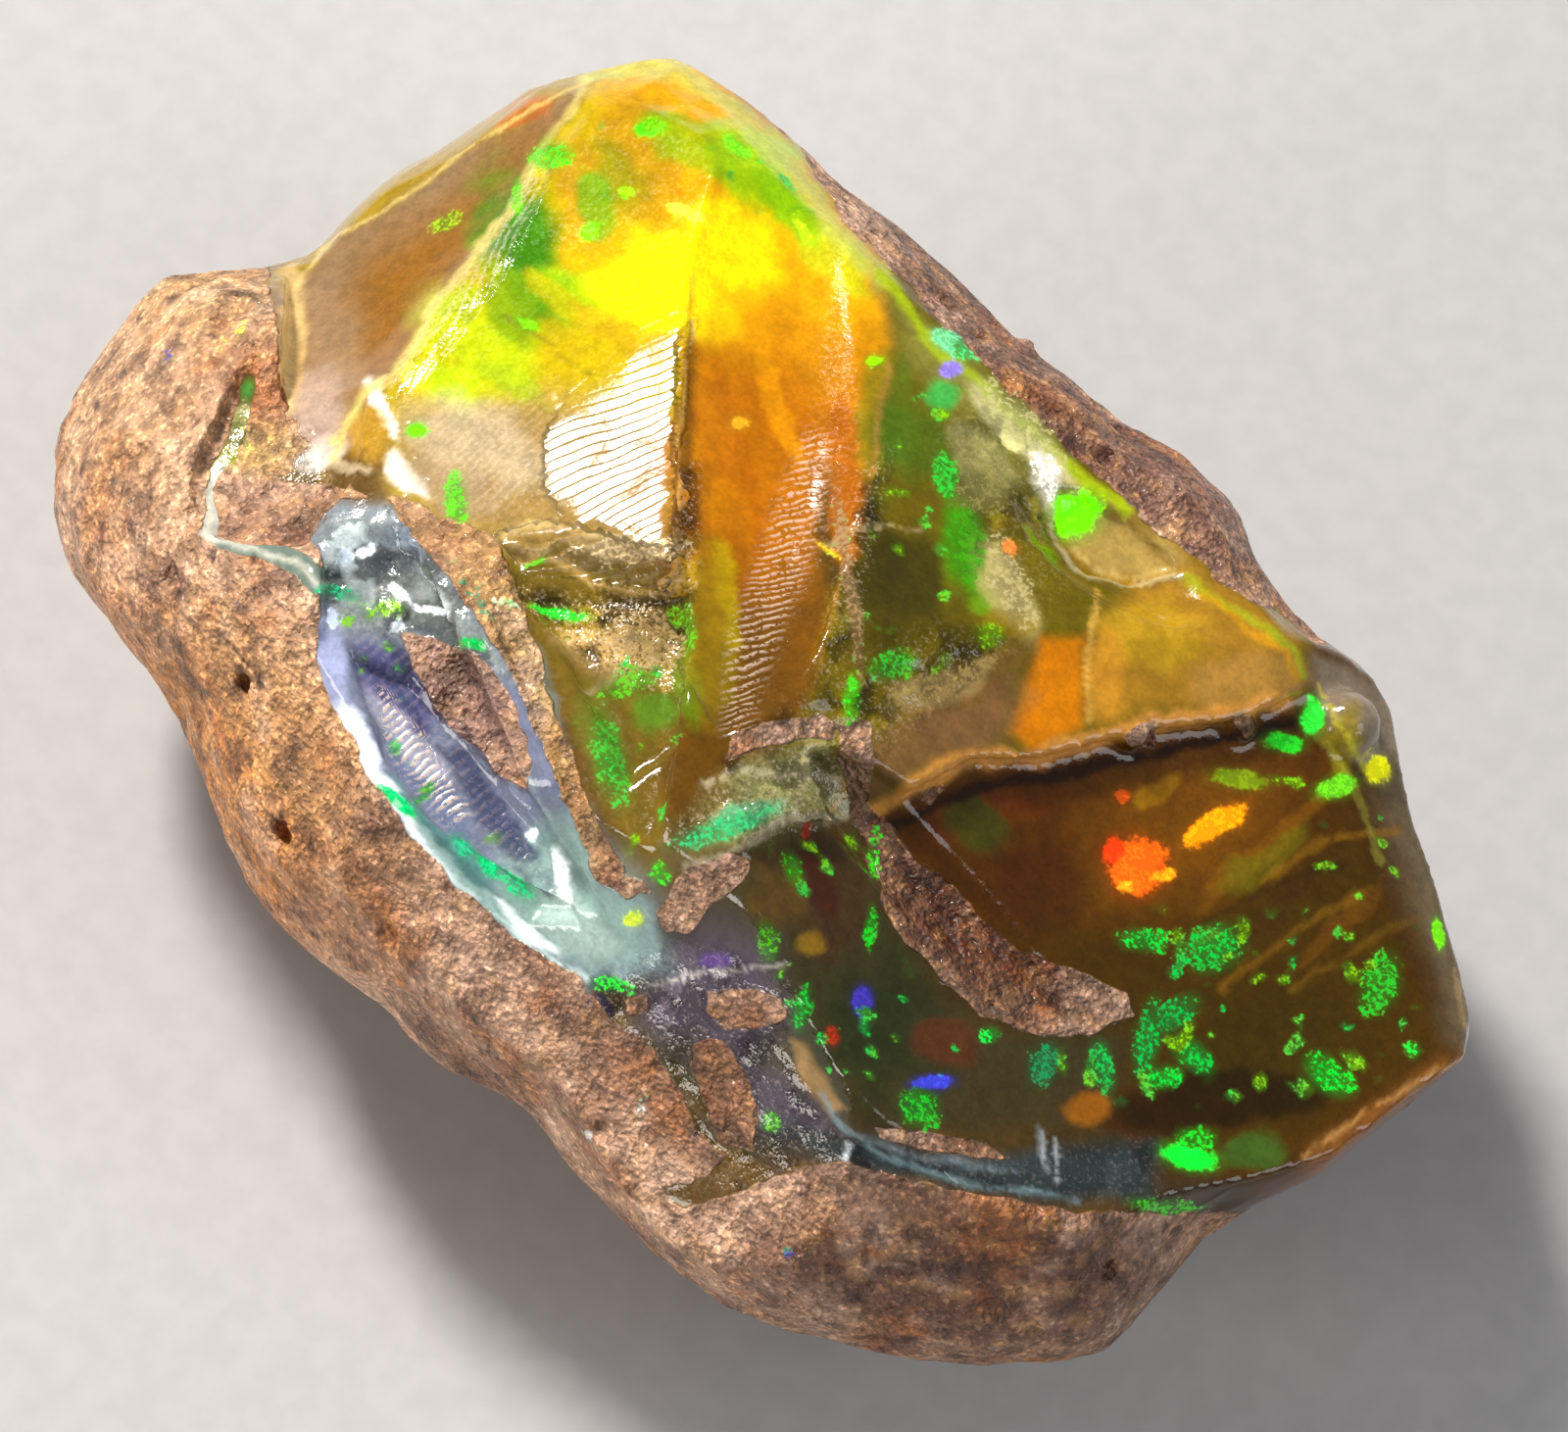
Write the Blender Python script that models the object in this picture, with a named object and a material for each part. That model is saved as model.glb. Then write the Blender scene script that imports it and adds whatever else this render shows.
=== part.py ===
"""A rough fire opal: one lumpy nodule with a host-rock skin, broken open along curved fractures.

The stone is described in a view frame, in millimetres, as it is seen from the front left and above:
u runs right, v runs up and w runs towards the viewer, all from the middle of the stone.
The finished solid stands on the plane z = 0 with its long side along X.
"""

import math

import bmesh
import bpy
import numpy as np
from mathutils import Matrix, Vector, noise

MM = 0.001

# The view frame: where the viewer stands, round the stone, above it and away from it
VIEW_AZIMUTH = math.radians(44.0)
VIEW_ELEVATION = math.radians(60.0)
VIEW_DISTANCE = 200.0

# The nodule before it broke: its outline as seen, its half thickness and the slope of its widest section
OUTLINE_CENTRE = (-0.4, 0.1)
OUTLINE = (
    (-21.9, 7.2), (-21.4, 9.2), (-20.2, 11.3), (-18.8, 13.5), (-16.5, 13.4), (-14.3, 13.2),
    (-12.6, 15.4), (-10.1, 16.8), (-7.3, 19.4), (-4.0, 20.6), (-1.4, 19.1), (0.7, 16.6),
    (4.3, 13.3), (6.8, 11.0), (9.3, 9.0), (11.4, 7.1), (13.6, 5.2), (15.1, 2.7),
    (17.9, 1.1), (18.5, -2.4), (19.7, -6.4), (20.7, -9.6), (20.0, -11.0), (16.8, -13.1),
    (12.7, -15.1), (10.9, -17.2), (9.6, -18.7), (8.3, -19.2), (2.9, -19.2), (-2.3, -17.1),
    (-5.6, -14.0), (-7.5, -11.8), (-11.8, -8.7), (-14.0, -7.0), (-15.8, -5.2), (-16.8, -3.2),
    (-17.6, -1.0), (-18.3, 0.9), (-19.9, 2.5), (-21.6, 4.4),
)
OUTLINE_BLUR_DEG = 1.5
HALF_THICKNESS = 12.6
SECTION_SLOPE_U = 0.093
SECTION_SLOPE_V = -0.316

# Lumps of the natural skin: (wavelength, height)
SKIN_LUMPS = ((9.0, 0.55), (4.2, 0.36), (2.1, 0.15))

# How far the flat that the stone rests on lies above its lowest point
BASE_CUT = 0.9

# Concave fractures: each passes through three landmarks (u, v, w), with its own radius of curvature
FRACTURES = {
    "main_face": ((-11.7, 10.1, 2.9), (-3.2, 5.0, 10.0), (-2.8, 11.7, 4.7), 150.0),
    "right_face": ((3.1, 13.0, 1.7), (1.2, 2.6, 10.4), (15.5, 2.1, 4.0), 150.0),
    "right_foot": ((1.2, 2.6, 10.4), (2.0, -3.0, 11.6), (15.5, 1.5, 4.4), 80.0),
    "crown_top": ((-7.3, 19.1, -3.0), (-3.2, 19.8, -3.0), (-5.2, 18.4, -9.0), 200.0),
    "crown_right": ((-3.4, 19.9, -3.0), (0.2, 17.1, -3.0), (-1.9, 17.0, -9.0), 200.0),
    "left_face": ((-5.8, 19.0, -2.3), (-11.7, 10.1, 2.9), (-14.8, 10.8, -1.0), 60.0),
    "rind_notch": ((-16.2, 10.2, 1.3), (-17.0, 6.2, 3.2), (-14.0, 8.0, 2.8), 14.0),
    "front_left": ((-4.5, -5.2, 11.4), (1.5, -13.9, 12.5), (-4.6, -14.0, 8.4), 60.0),
    "lower_block": ((5.3, -1.2, 8.5), (5.8, -14.6, 13.2), (20.7, -9.9, 5.5), 60.0),
    "right_rim": ((15.9, 0.3, 3.8), (18.4, -7.9, 5.6), (19.3, -4.5, 2.8), 60.0),
    "end_facet": ((20.2, -10.1, 5.6), (14.6, -14.5, 9.6), (17.3, -12.9, 2.0), 80.0),
}

# Scooped fractures: the head and the foot of each, its half width and its depth
SCOOPS = {
    "amber_channel": ((1.0, 16.0, 0.6), (-1.8, 0.0, 12.0), 3.2, 0.8),
    "valley": ((-7.0, 8.5, 7.6), (-4.3, -6.0, 13.2), 3.4, 0.4),
    "blade": ((-13.6, 6.2, 6.2), (-4.5, -8.2, 11.8), 3.0, 1.0),
    "rim_chip": ((8.2, 7.1, 3.7), (12.4, 4.2, 3.9), 1.3, 0.4),
    "host_rock_vein": ((2.7, -2.9, 9.8), (10.6, -9.5, 9.4), 1.1, 0.4),
}

# Fractures that stop at a step: the edge line of each, as seen from the front
EDGES = {
    "left_face": (
        (-15.3, 14.8), (-14.9, 12.0), (-14.9, 9.4), (-13.9, 7.4), (-10.0, 6.0),
        (-3.0, 12.0), (-3.0, 22.0), (-10.0, 22.0),
    ),
    "rind_notch": (
        (-15.1, 13.6), (-15.6, 11.5), (-16.4, 9.6), (-17.4, 7.4), (-17.5, 5.6),
        (-15.8, 5.0), (-13.8, 4.9), (-12.5, 7.0), (-12.0, 12.0), (-12.5, 14.5),
    ),
    "lower_block": (
        (-4.7, -5.1), (-2.9, -4.4), (-1.2, -3.7), (0.0, -2.9), (2.0, -3.0), (3.7, -2.0),
        (5.3, -1.2), (7.3, -1.2), (10.2, -0.4), (13.2, -0.1), (15.5, 0.9), (24.0, 4.0),
        (26.0, -20.0), (0.0, -22.0), (-5.5, -12.0), (-6.0, -8.5),
    ),
    "amber_channel": (
        (-2.6, 17.0), (-2.8, 11.7), (-3.2, 5.0), (-3.0, 1.5), (-1.8, -0.5), (0.4, 0.5),
        (1.2, 2.6), (2.3, 6.7), (3.1, 10.5), (3.1, 13.0), (2.0, 17.0),
    ),
    "valley": (
        (-8.7, 5.6), (-6.1, 6.0), (-4.7, 5.0), (-2.8, 4.1), (-2.5, 2.6), (-2.9, 0.3),
        (-3.2, -2.0), (-3.9, -5.4), (-5.3, -4.4), (-7.0, -0.3), (-8.2, 2.6),
    ),
    "blade": (
        (-13.7, 6.2), (-13.3, 3.8), (-13.5, 0.9), (-11.7, -2.0), (-9.4, -5.0), (-7.0, -7.0),
        (-5.3, -7.9), (-4.7, -6.7), (-5.8, -4.1), (-7.3, -2.0), (-8.5, 0.9), (-9.6, 3.2), (-11.1, 5.6),
    ),
}

# How deep and how high the cutters over those edge lines reach
PRISM_LOW = -9.0
PRISM_HIGH = 27.0

# Crust lumps that stand on the fractures: the place of each, and its radius
CRUST_LUMPS = (
    (16.7, -0.3, 3.2, 1.1), (10.4, -0.5, 6.6, 0.5), (13.6, -0.3, 4.8, 0.45), (3.4, -2.5, 9.0, 0.5),
    (-0.9, -4.4, 11.2, 0.45), (-7.9, 4.6, 8.2, 0.5), (-6.7, -1.4, 10.6, 0.45),
)

# Pits in the skin: the place of each as seen from the front, and its radius
PITS = (
    (-16.2, 12.4, 0.42), (-19.3, 8.0, 0.36), (-18.4, 4.2, 0.45), (-16.0, 1.0, 0.38), (-14.8, -3.4, 0.5),
    (-11.9, -6.6, 0.42), (-9.0, -9.9, 0.36), (-5.6, -12.4, 0.45), (1.4, -16.6, 0.4), (6.2, -17.9, 0.5),
    (9.8, -16.6, 0.38), (5.8, 11.3, 0.36), (9.6, 7.9, 0.42),
)

OPAL_AMBER = (0.62, 0.33, 0.06, 1.0)


def view_basis():
    """The view frame's three directions in the stone's frame: right, up and towards the viewer."""
    sin_a, cos_a = math.sin(VIEW_AZIMUTH), math.cos(VIEW_AZIMUTH)
    sin_e, cos_e = math.sin(VIEW_ELEVATION), math.cos(VIEW_ELEVATION)
    right = Vector((cos_a, sin_a, 0.0))
    up = Vector((-sin_a * sin_e, cos_a * sin_e, cos_e))
    near = Vector((sin_a * cos_e, -cos_a * cos_e, sin_e))
    return right, up, near


RIGHT, UP, NEAR = view_basis()


def seen(u, v, w):
    """The point in the stone's frame that is seen at (u, v), w nearer to the viewer than the middle."""
    narrowing = 1.0 - w / VIEW_DISTANCE
    return (RIGHT * u * narrowing + UP * v * narrowing + NEAR * w) * MM


def outline_reach():
    """The outline's distance from its centre for each whole degree, slightly smoothed."""
    points = np.array(OUTLINE) - np.array(OUTLINE_CENTRE)
    angles = np.degrees(np.arctan2(points[:, 1], points[:, 0])) % 360.0
    order = np.argsort(angles)
    reach = np.interp(np.arange(360.0), angles[order], np.hypot(*points.T)[order], period=360.0)
    offsets = np.arange(-9, 10)
    weights = np.exp(-0.5 * (offsets / OUTLINE_BLUR_DEG) ** 2)
    return sum(k * np.roll(reach, o) for o, k in zip(offsets, weights)) / weights.sum()


REACH = outline_reach()


def reach_towards(angle):
    """The outline's distance from its centre at one angle in degrees."""
    return float(np.interp(angle % 360.0, np.arange(361.0), np.append(REACH, REACH[0])))


def middle_height(u, v):
    """The height of the nodule's widest section."""
    return SECTION_SLOPE_U * u + SECTION_SLOPE_V * v


def skin_height(u, v):
    """The height of the nodule's near side before its lumps are added."""
    u_off, v_off = u - OUTLINE_CENTRE[0], v - OUTLINE_CENTRE[1]
    share = math.hypot(u_off, v_off) / reach_towards(math.degrees(math.atan2(v_off, u_off)))
    return middle_height(u, v) + HALF_THICKNESS * math.sqrt(max(0.0, 1.0 - share**2))


def skin_point(direction):
    """The nodule's natural skin in one direction, given in the view frame."""
    angle = math.atan2(direction.y, direction.x)
    reach = reach_towards(math.degrees(angle)) * math.hypot(direction.x, direction.y)
    u = OUTLINE_CENTRE[0] + reach * math.cos(angle)
    v = OUTLINE_CENTRE[1] + reach * math.sin(angle)
    point = seen(u, v, middle_height(u, v) + HALF_THICKNESS * direction.z)
    outward = point.normalized()
    for wavelength, height in SKIN_LUMPS:
        point += outward * noise.noise(point / (wavelength * MM)) * height * MM
    return point


def link(collection, name, mesh):
    """A new object that shows a mesh or a curve."""
    made = bpy.data.objects.new(name, mesh)
    collection.objects.link(made)
    return made


def ball(collection, name, subdivisions, radius):
    """A closed triangle ball, centred on the origin."""
    shape = bmesh.new()
    bmesh.ops.create_icosphere(shape, subdivisions=subdivisions, radius=radius)
    mesh = bpy.data.meshes.new(name)
    shape.to_mesh(mesh)
    shape.free()
    return link(collection, name, mesh)


def circumcentre(a, b, c):
    """The centre of the circle through three points, and its radius."""
    ab, ac = b - a, c - a
    normal = ab.cross(ac)
    offset = normal.cross(ab) * ac.length_squared + ac.cross(normal) * ab.length_squared
    centre = a + offset / (2.0 * normal.length_squared)
    return centre, (centre - a).length


def fracture_ball(collection, name, first, second, third, radius):
    """A ball whose surface passes through three landmarks and which lies outside the stone there."""
    a, b, c = seen(*first), seen(*second), seen(*third)
    centre, across = circumcentre(a, b, c)
    normal = (b - a).cross(c - a).normalized()
    if normal.dot(centre) < 0.0:
        normal.negate()
    cutter = ball(collection, name, 5, radius * MM)
    cutter.location = centre + normal * math.sqrt((radius * MM) ** 2 - across**2)
    return cutter


def edge_prism(collection, name, edge):
    """A prism along the line of sight over one edge line, from deep in the stone to above it."""
    line = bpy.data.curves.new(name, "CURVE")
    line.dimensions = "2D"
    line.fill_mode = "BOTH"
    line.extrude = (PRISM_HIGH - PRISM_LOW) / 2 * MM
    spline = line.splines.new("POLY")
    spline.points.add(len(edge) - 1)
    for point, (u, v) in zip(spline.points, edge):
        point.co = (u * MM, v * MM, 0.0, 1.0)
    spline.use_cyclic_u = True
    guide = link(collection, name + "_outline", line)
    frame = Matrix((RIGHT, UP, NEAR)).transposed().to_4x4()
    frame.translation = NEAR * (PRISM_HIGH + PRISM_LOW) / 2 * MM
    guide.matrix_world = frame
    bpy.context.view_layer.update()
    mesh = bpy.data.meshes.new_from_object(guide.evaluated_get(bpy.context.evaluated_depsgraph_get()))
    shape = bmesh.new()
    shape.from_mesh(mesh)
    bmesh.ops.remove_doubles(shape, verts=shape.verts, dist=0.00001)
    bmesh.ops.recalc_face_normals(shape, faces=shape.faces)
    shape.to_mesh(mesh)
    shape.free()
    prism = link(collection, name + "_edge", mesh)
    prism.matrix_world = frame
    bpy.data.objects.remove(guide)
    return prism


def boolean(target, cutter, operation):
    cut = target.modifiers.new(cutter.name, "BOOLEAN")
    cut.operation = operation
    cut.object = cutter


def scoop_ball(collection, name, head, foot, half_width, depth):
    """A ball stretched along a scoop, which sinks by its depth below the line from head to foot."""
    head, foot = seen(*head), seen(*foot)
    middle, half_length = (head + foot) / 2, (foot - head).length / 2
    along = (foot - head).normalized()
    outward = (NEAR - along * NEAR.dot(along)).normalized()
    radius = (half_width**2 + depth**2) / (2 * depth) * MM
    stretch = half_length / (half_width * MM)
    cutter = ball(collection, name, 4, radius)
    cutter.data.transform(Matrix.Diagonal((stretch, 1.0, 1.0, 1.0)))
    turn = Matrix((along, outward.cross(along), outward)).transposed().to_4x4()
    cutter.matrix_world = Matrix.Translation(middle + outward * (radius - depth * MM)) @ turn
    return cutter


def opal_material():
    material = bpy.data.materials.new("fire_opal")
    material.use_nodes = True
    shader = material.node_tree.nodes["Principled BSDF"]
    shader.inputs["Base Color"].default_value = OPAL_AMBER
    shader.inputs["Roughness"].default_value = 0.25
    shader.inputs["Metallic"].default_value = 0.0
    return material


def floor_box(collection, height):
    """A block whose top lies at the height where the stone rests."""
    shape = bmesh.new()
    bmesh.ops.create_cube(shape, size=80.0 * MM)
    mesh = bpy.data.meshes.new("floor")
    shape.to_mesh(mesh)
    shape.free()
    floor = link(collection, "floor", mesh)
    floor.location.z = height - 40.0 * MM
    return floor


def settle(stone_parts, cutters, stone):
    """Move everything so that the finished stone stands on z = 0, over the middle of its outline."""
    middle = bpy.data.objects.new("view_middle", None)
    stone_parts.objects.link(middle)
    for item in [stone, *cutters.objects]:
        item.parent = middle
    bpy.context.view_layer.update()
    mesh = stone.evaluated_get(bpy.context.evaluated_depsgraph_get()).data
    places = np.array([vertex.co for vertex in mesh.vertices])
    low, high = places.min(axis=0), places.max(axis=0)
    middle.location = (-(low[0] + high[0]) / 2, -(low[1] + high[1]) / 2, -low[2])
    bpy.context.view_layer.update()
    return middle.location


def main():
    for old in list(bpy.data.objects):
        bpy.data.objects.remove(old)
    stone_parts = bpy.data.collections.new("rough_fire_opal")
    cutters = bpy.data.collections.new("cutters")
    bpy.context.scene.collection.children.link(stone_parts)
    bpy.context.scene.collection.children.link(cutters)

    stone = ball(stone_parts, "rough_opal", 5, 1.0)
    for vertex in stone.data.vertices:
        vertex.co = skin_point(vertex.co.normalized())
    stone.data.set_sharp_from_angle(angle=math.radians(20.0))
    stone.data.materials.append(opal_material())
    lowest = min(vertex.co.z for vertex in stone.data.vertices)

    floors = {name: fracture_ball(cutters, name, *sizes) for name, sizes in FRACTURES.items()}
    floors.update({name: scoop_ball(cutters, name, *sizes) for name, sizes in SCOOPS.items()})
    for name, cutter in floors.items():
        if name in EDGES:
            prism = edge_prism(cutters, name, EDGES[name])
            boolean(prism, cutter, "INTERSECT")
            cutter = prism
        boolean(stone, cutter, "DIFFERENCE")
    for number, (u, v, w, radius) in enumerate(CRUST_LUMPS):
        lump = ball(cutters, f"crust_lump_{number}", 2, radius * MM)
        lump.location = seen(u, v, w)
        boolean(stone, lump, "UNION")
    for number, (u, v, radius) in enumerate(PITS):
        pit = ball(cutters, f"pit_{number}", 2, radius * MM)
        pit.location = seen(u, v, skin_height(u, v))
        boolean(stone, pit, "DIFFERENCE")

    floor = floor_box(cutters, lowest + BASE_CUT * MM)
    boolean(stone, floor, "DIFFERENCE")

    for cutter in cutters.objects:
        cutter.hide_render = True
        cutter.display_type = "WIRE"
    return settle(stone_parts, cutters, stone)


main()
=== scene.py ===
import math

import bpy
import numpy as np
from mathutils import Matrix, Vector, noise


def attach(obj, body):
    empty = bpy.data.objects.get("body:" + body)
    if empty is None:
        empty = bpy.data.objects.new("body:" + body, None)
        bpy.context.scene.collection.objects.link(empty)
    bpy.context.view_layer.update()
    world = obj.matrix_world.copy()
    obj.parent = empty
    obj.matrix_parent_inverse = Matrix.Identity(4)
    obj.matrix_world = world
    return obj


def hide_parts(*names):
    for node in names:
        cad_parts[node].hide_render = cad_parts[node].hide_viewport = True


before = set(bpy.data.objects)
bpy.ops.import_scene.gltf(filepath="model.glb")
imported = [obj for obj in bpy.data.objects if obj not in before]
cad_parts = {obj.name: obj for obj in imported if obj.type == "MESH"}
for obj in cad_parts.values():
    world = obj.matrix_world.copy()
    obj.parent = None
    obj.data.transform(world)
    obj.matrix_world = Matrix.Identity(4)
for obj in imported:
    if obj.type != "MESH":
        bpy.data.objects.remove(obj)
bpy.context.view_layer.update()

MM = 0.001

# The view frame: u runs right, v up and w towards the viewer, in millimetres from the stone's middle
VIEW_AZIMUTH = math.radians(44.0)
VIEW_ELEVATION = math.radians(60.0)
VIEW_DISTANCE = 200.0
STONE_MIDDLE = Vector((1.22, 0.28, 11.12)) * MM

# The picture frame: places below are given as the picture's pixels (x right, y down)
PIXELS_PER_MM = 34.2
PICTURE_MIDDLE = (800.0, 730.5)
PICTURE_WIDTH = 1600.0
SENSOR_WIDTH = 36.0

# The fine mesh that takes the surface detail, with the host rock's part of it thinned
GRID_MM = 0.17
KEPT_SHARE = 0.545

# Front and back of the nodule meet at its widest section, w = slope_u * u + slope_v * v
SECTION_SLOPE_U = 0.093
SECTION_SLOPE_V = -0.316
OPAL_LOWEST = -3.2

# Where the broken opal shows on the front; all else is host rock
OPAL_AREAS = {
    "whole_front": (
        (278, 300), (275, 270), (420, 130), (600, 45), (690, 40), (800, 135), (856, 215), (905, 272),
        (960, 330), (1010, 378), (1108, 474), (1180, 540), (1245, 592), (1310, 630), (1340, 655),
        (1400, 670), (1460, 740), (1500, 860), (1540, 1060), (1420, 1190), (1300, 1275), (1278, 1236),
        (1180, 1238), (1060, 1228), (930, 1205), (850, 1185), (760, 1215), (700, 1235), (650, 1190),
        (615, 1100), (596, 1005), (560, 982), (480, 918), (404, 840), (352, 740), (322, 660), (330, 590),
        (318, 548), (345, 512), (385, 505), (335, 494), (264, 488), (232, 478), (240, 442), (262, 430),
        (288, 432), (294, 418), (284, 370),
    ),
    "notch": (
        (244, 382), (256, 384), (258, 410), (252, 436), (238, 460), (230, 480), (220, 500), (220, 546),
        (250, 554), (290, 556), (334, 586), (328, 612), (300, 592), (268, 572), (222, 562), (204, 540),
        (208, 512), (218, 480), (228, 446), (240, 412),
    ),
}

# Host rock that lies on the front inside the opal
ROCK_AREAS = {
    "copper_ridge": (
        (392, 498), (440, 520), (508, 548), (530, 600), (548, 660), (562, 720), (590, 790), (618, 852),
        (640, 895), (664, 912), (640, 918), (612, 900), (590, 850), (560, 780), (534, 712), (510, 660),
        (480, 618), (440, 568), (412, 530),
    ),
    "mauve_lens": (
        (408, 642), (440, 652), (486, 668), (516, 698), (540, 752), (542, 806), (516, 790), (470, 748),
        (426, 690),
    ),
    "vein": (
        (856, 742), (886, 738), (892, 790), (884, 822), (906, 842), (940, 880), (972, 905), (996, 932),
        (1046, 972), (1100, 990), (1148, 1012), (1160, 1032), (1112, 1052), (1056, 1056), (1004, 1036),
        (962, 1002), (930, 962), (902, 912), (886, 866), (866, 828), (862, 790),
    ),
    "step_crust": (
        (748, 752), (790, 736), (838, 728), (856, 742), (852, 758), (812, 750), (770, 762), (738, 778),
    ),
    "left_wedge": ((668, 930), (690, 896), (740, 870), (766, 880), (740, 914), (706, 950), (682, 952)),
    "island_upper": (
        (722, 1012), (760, 1006), (800, 1018), (806, 1036), (780, 1050), (738, 1048), (720, 1030),
    ),
    "island_lower": (
        (702, 1066), (742, 1060), (762, 1096), (776, 1142), (768, 1176), (736, 1168), (712, 1120),
    ),
    "island_small": ((636, 1014), (660, 1014), (660, 1034), (640, 1036)),
    "bottom_left": (
        (604, 1010), (632, 1046), (668, 1074), (690, 1110), (704, 1150), (744, 1182), (700, 1212),
        (640, 1200), (600, 1110),
    ),
    "bottom_strip": ((892, 1154), (950, 1160), (1020, 1170), (1028, 1182), (960, 1178), (900, 1166)),
    "notch_shelf": ((256, 424), (300, 426), (316, 450), (304, 476), (270, 494), (236, 484), (244, 456)),
    "ledge_grain_a": ((1146, 748), (1164, 738), (1180, 742), (1176, 758), (1154, 762)),
    "ledge_grain_b": ((1260, 732), (1276, 728), (1284, 740), (1268, 748)),
    "ledge_grain_c": ((936, 812), (952, 800), (962, 806), (948, 822)),
}

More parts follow.
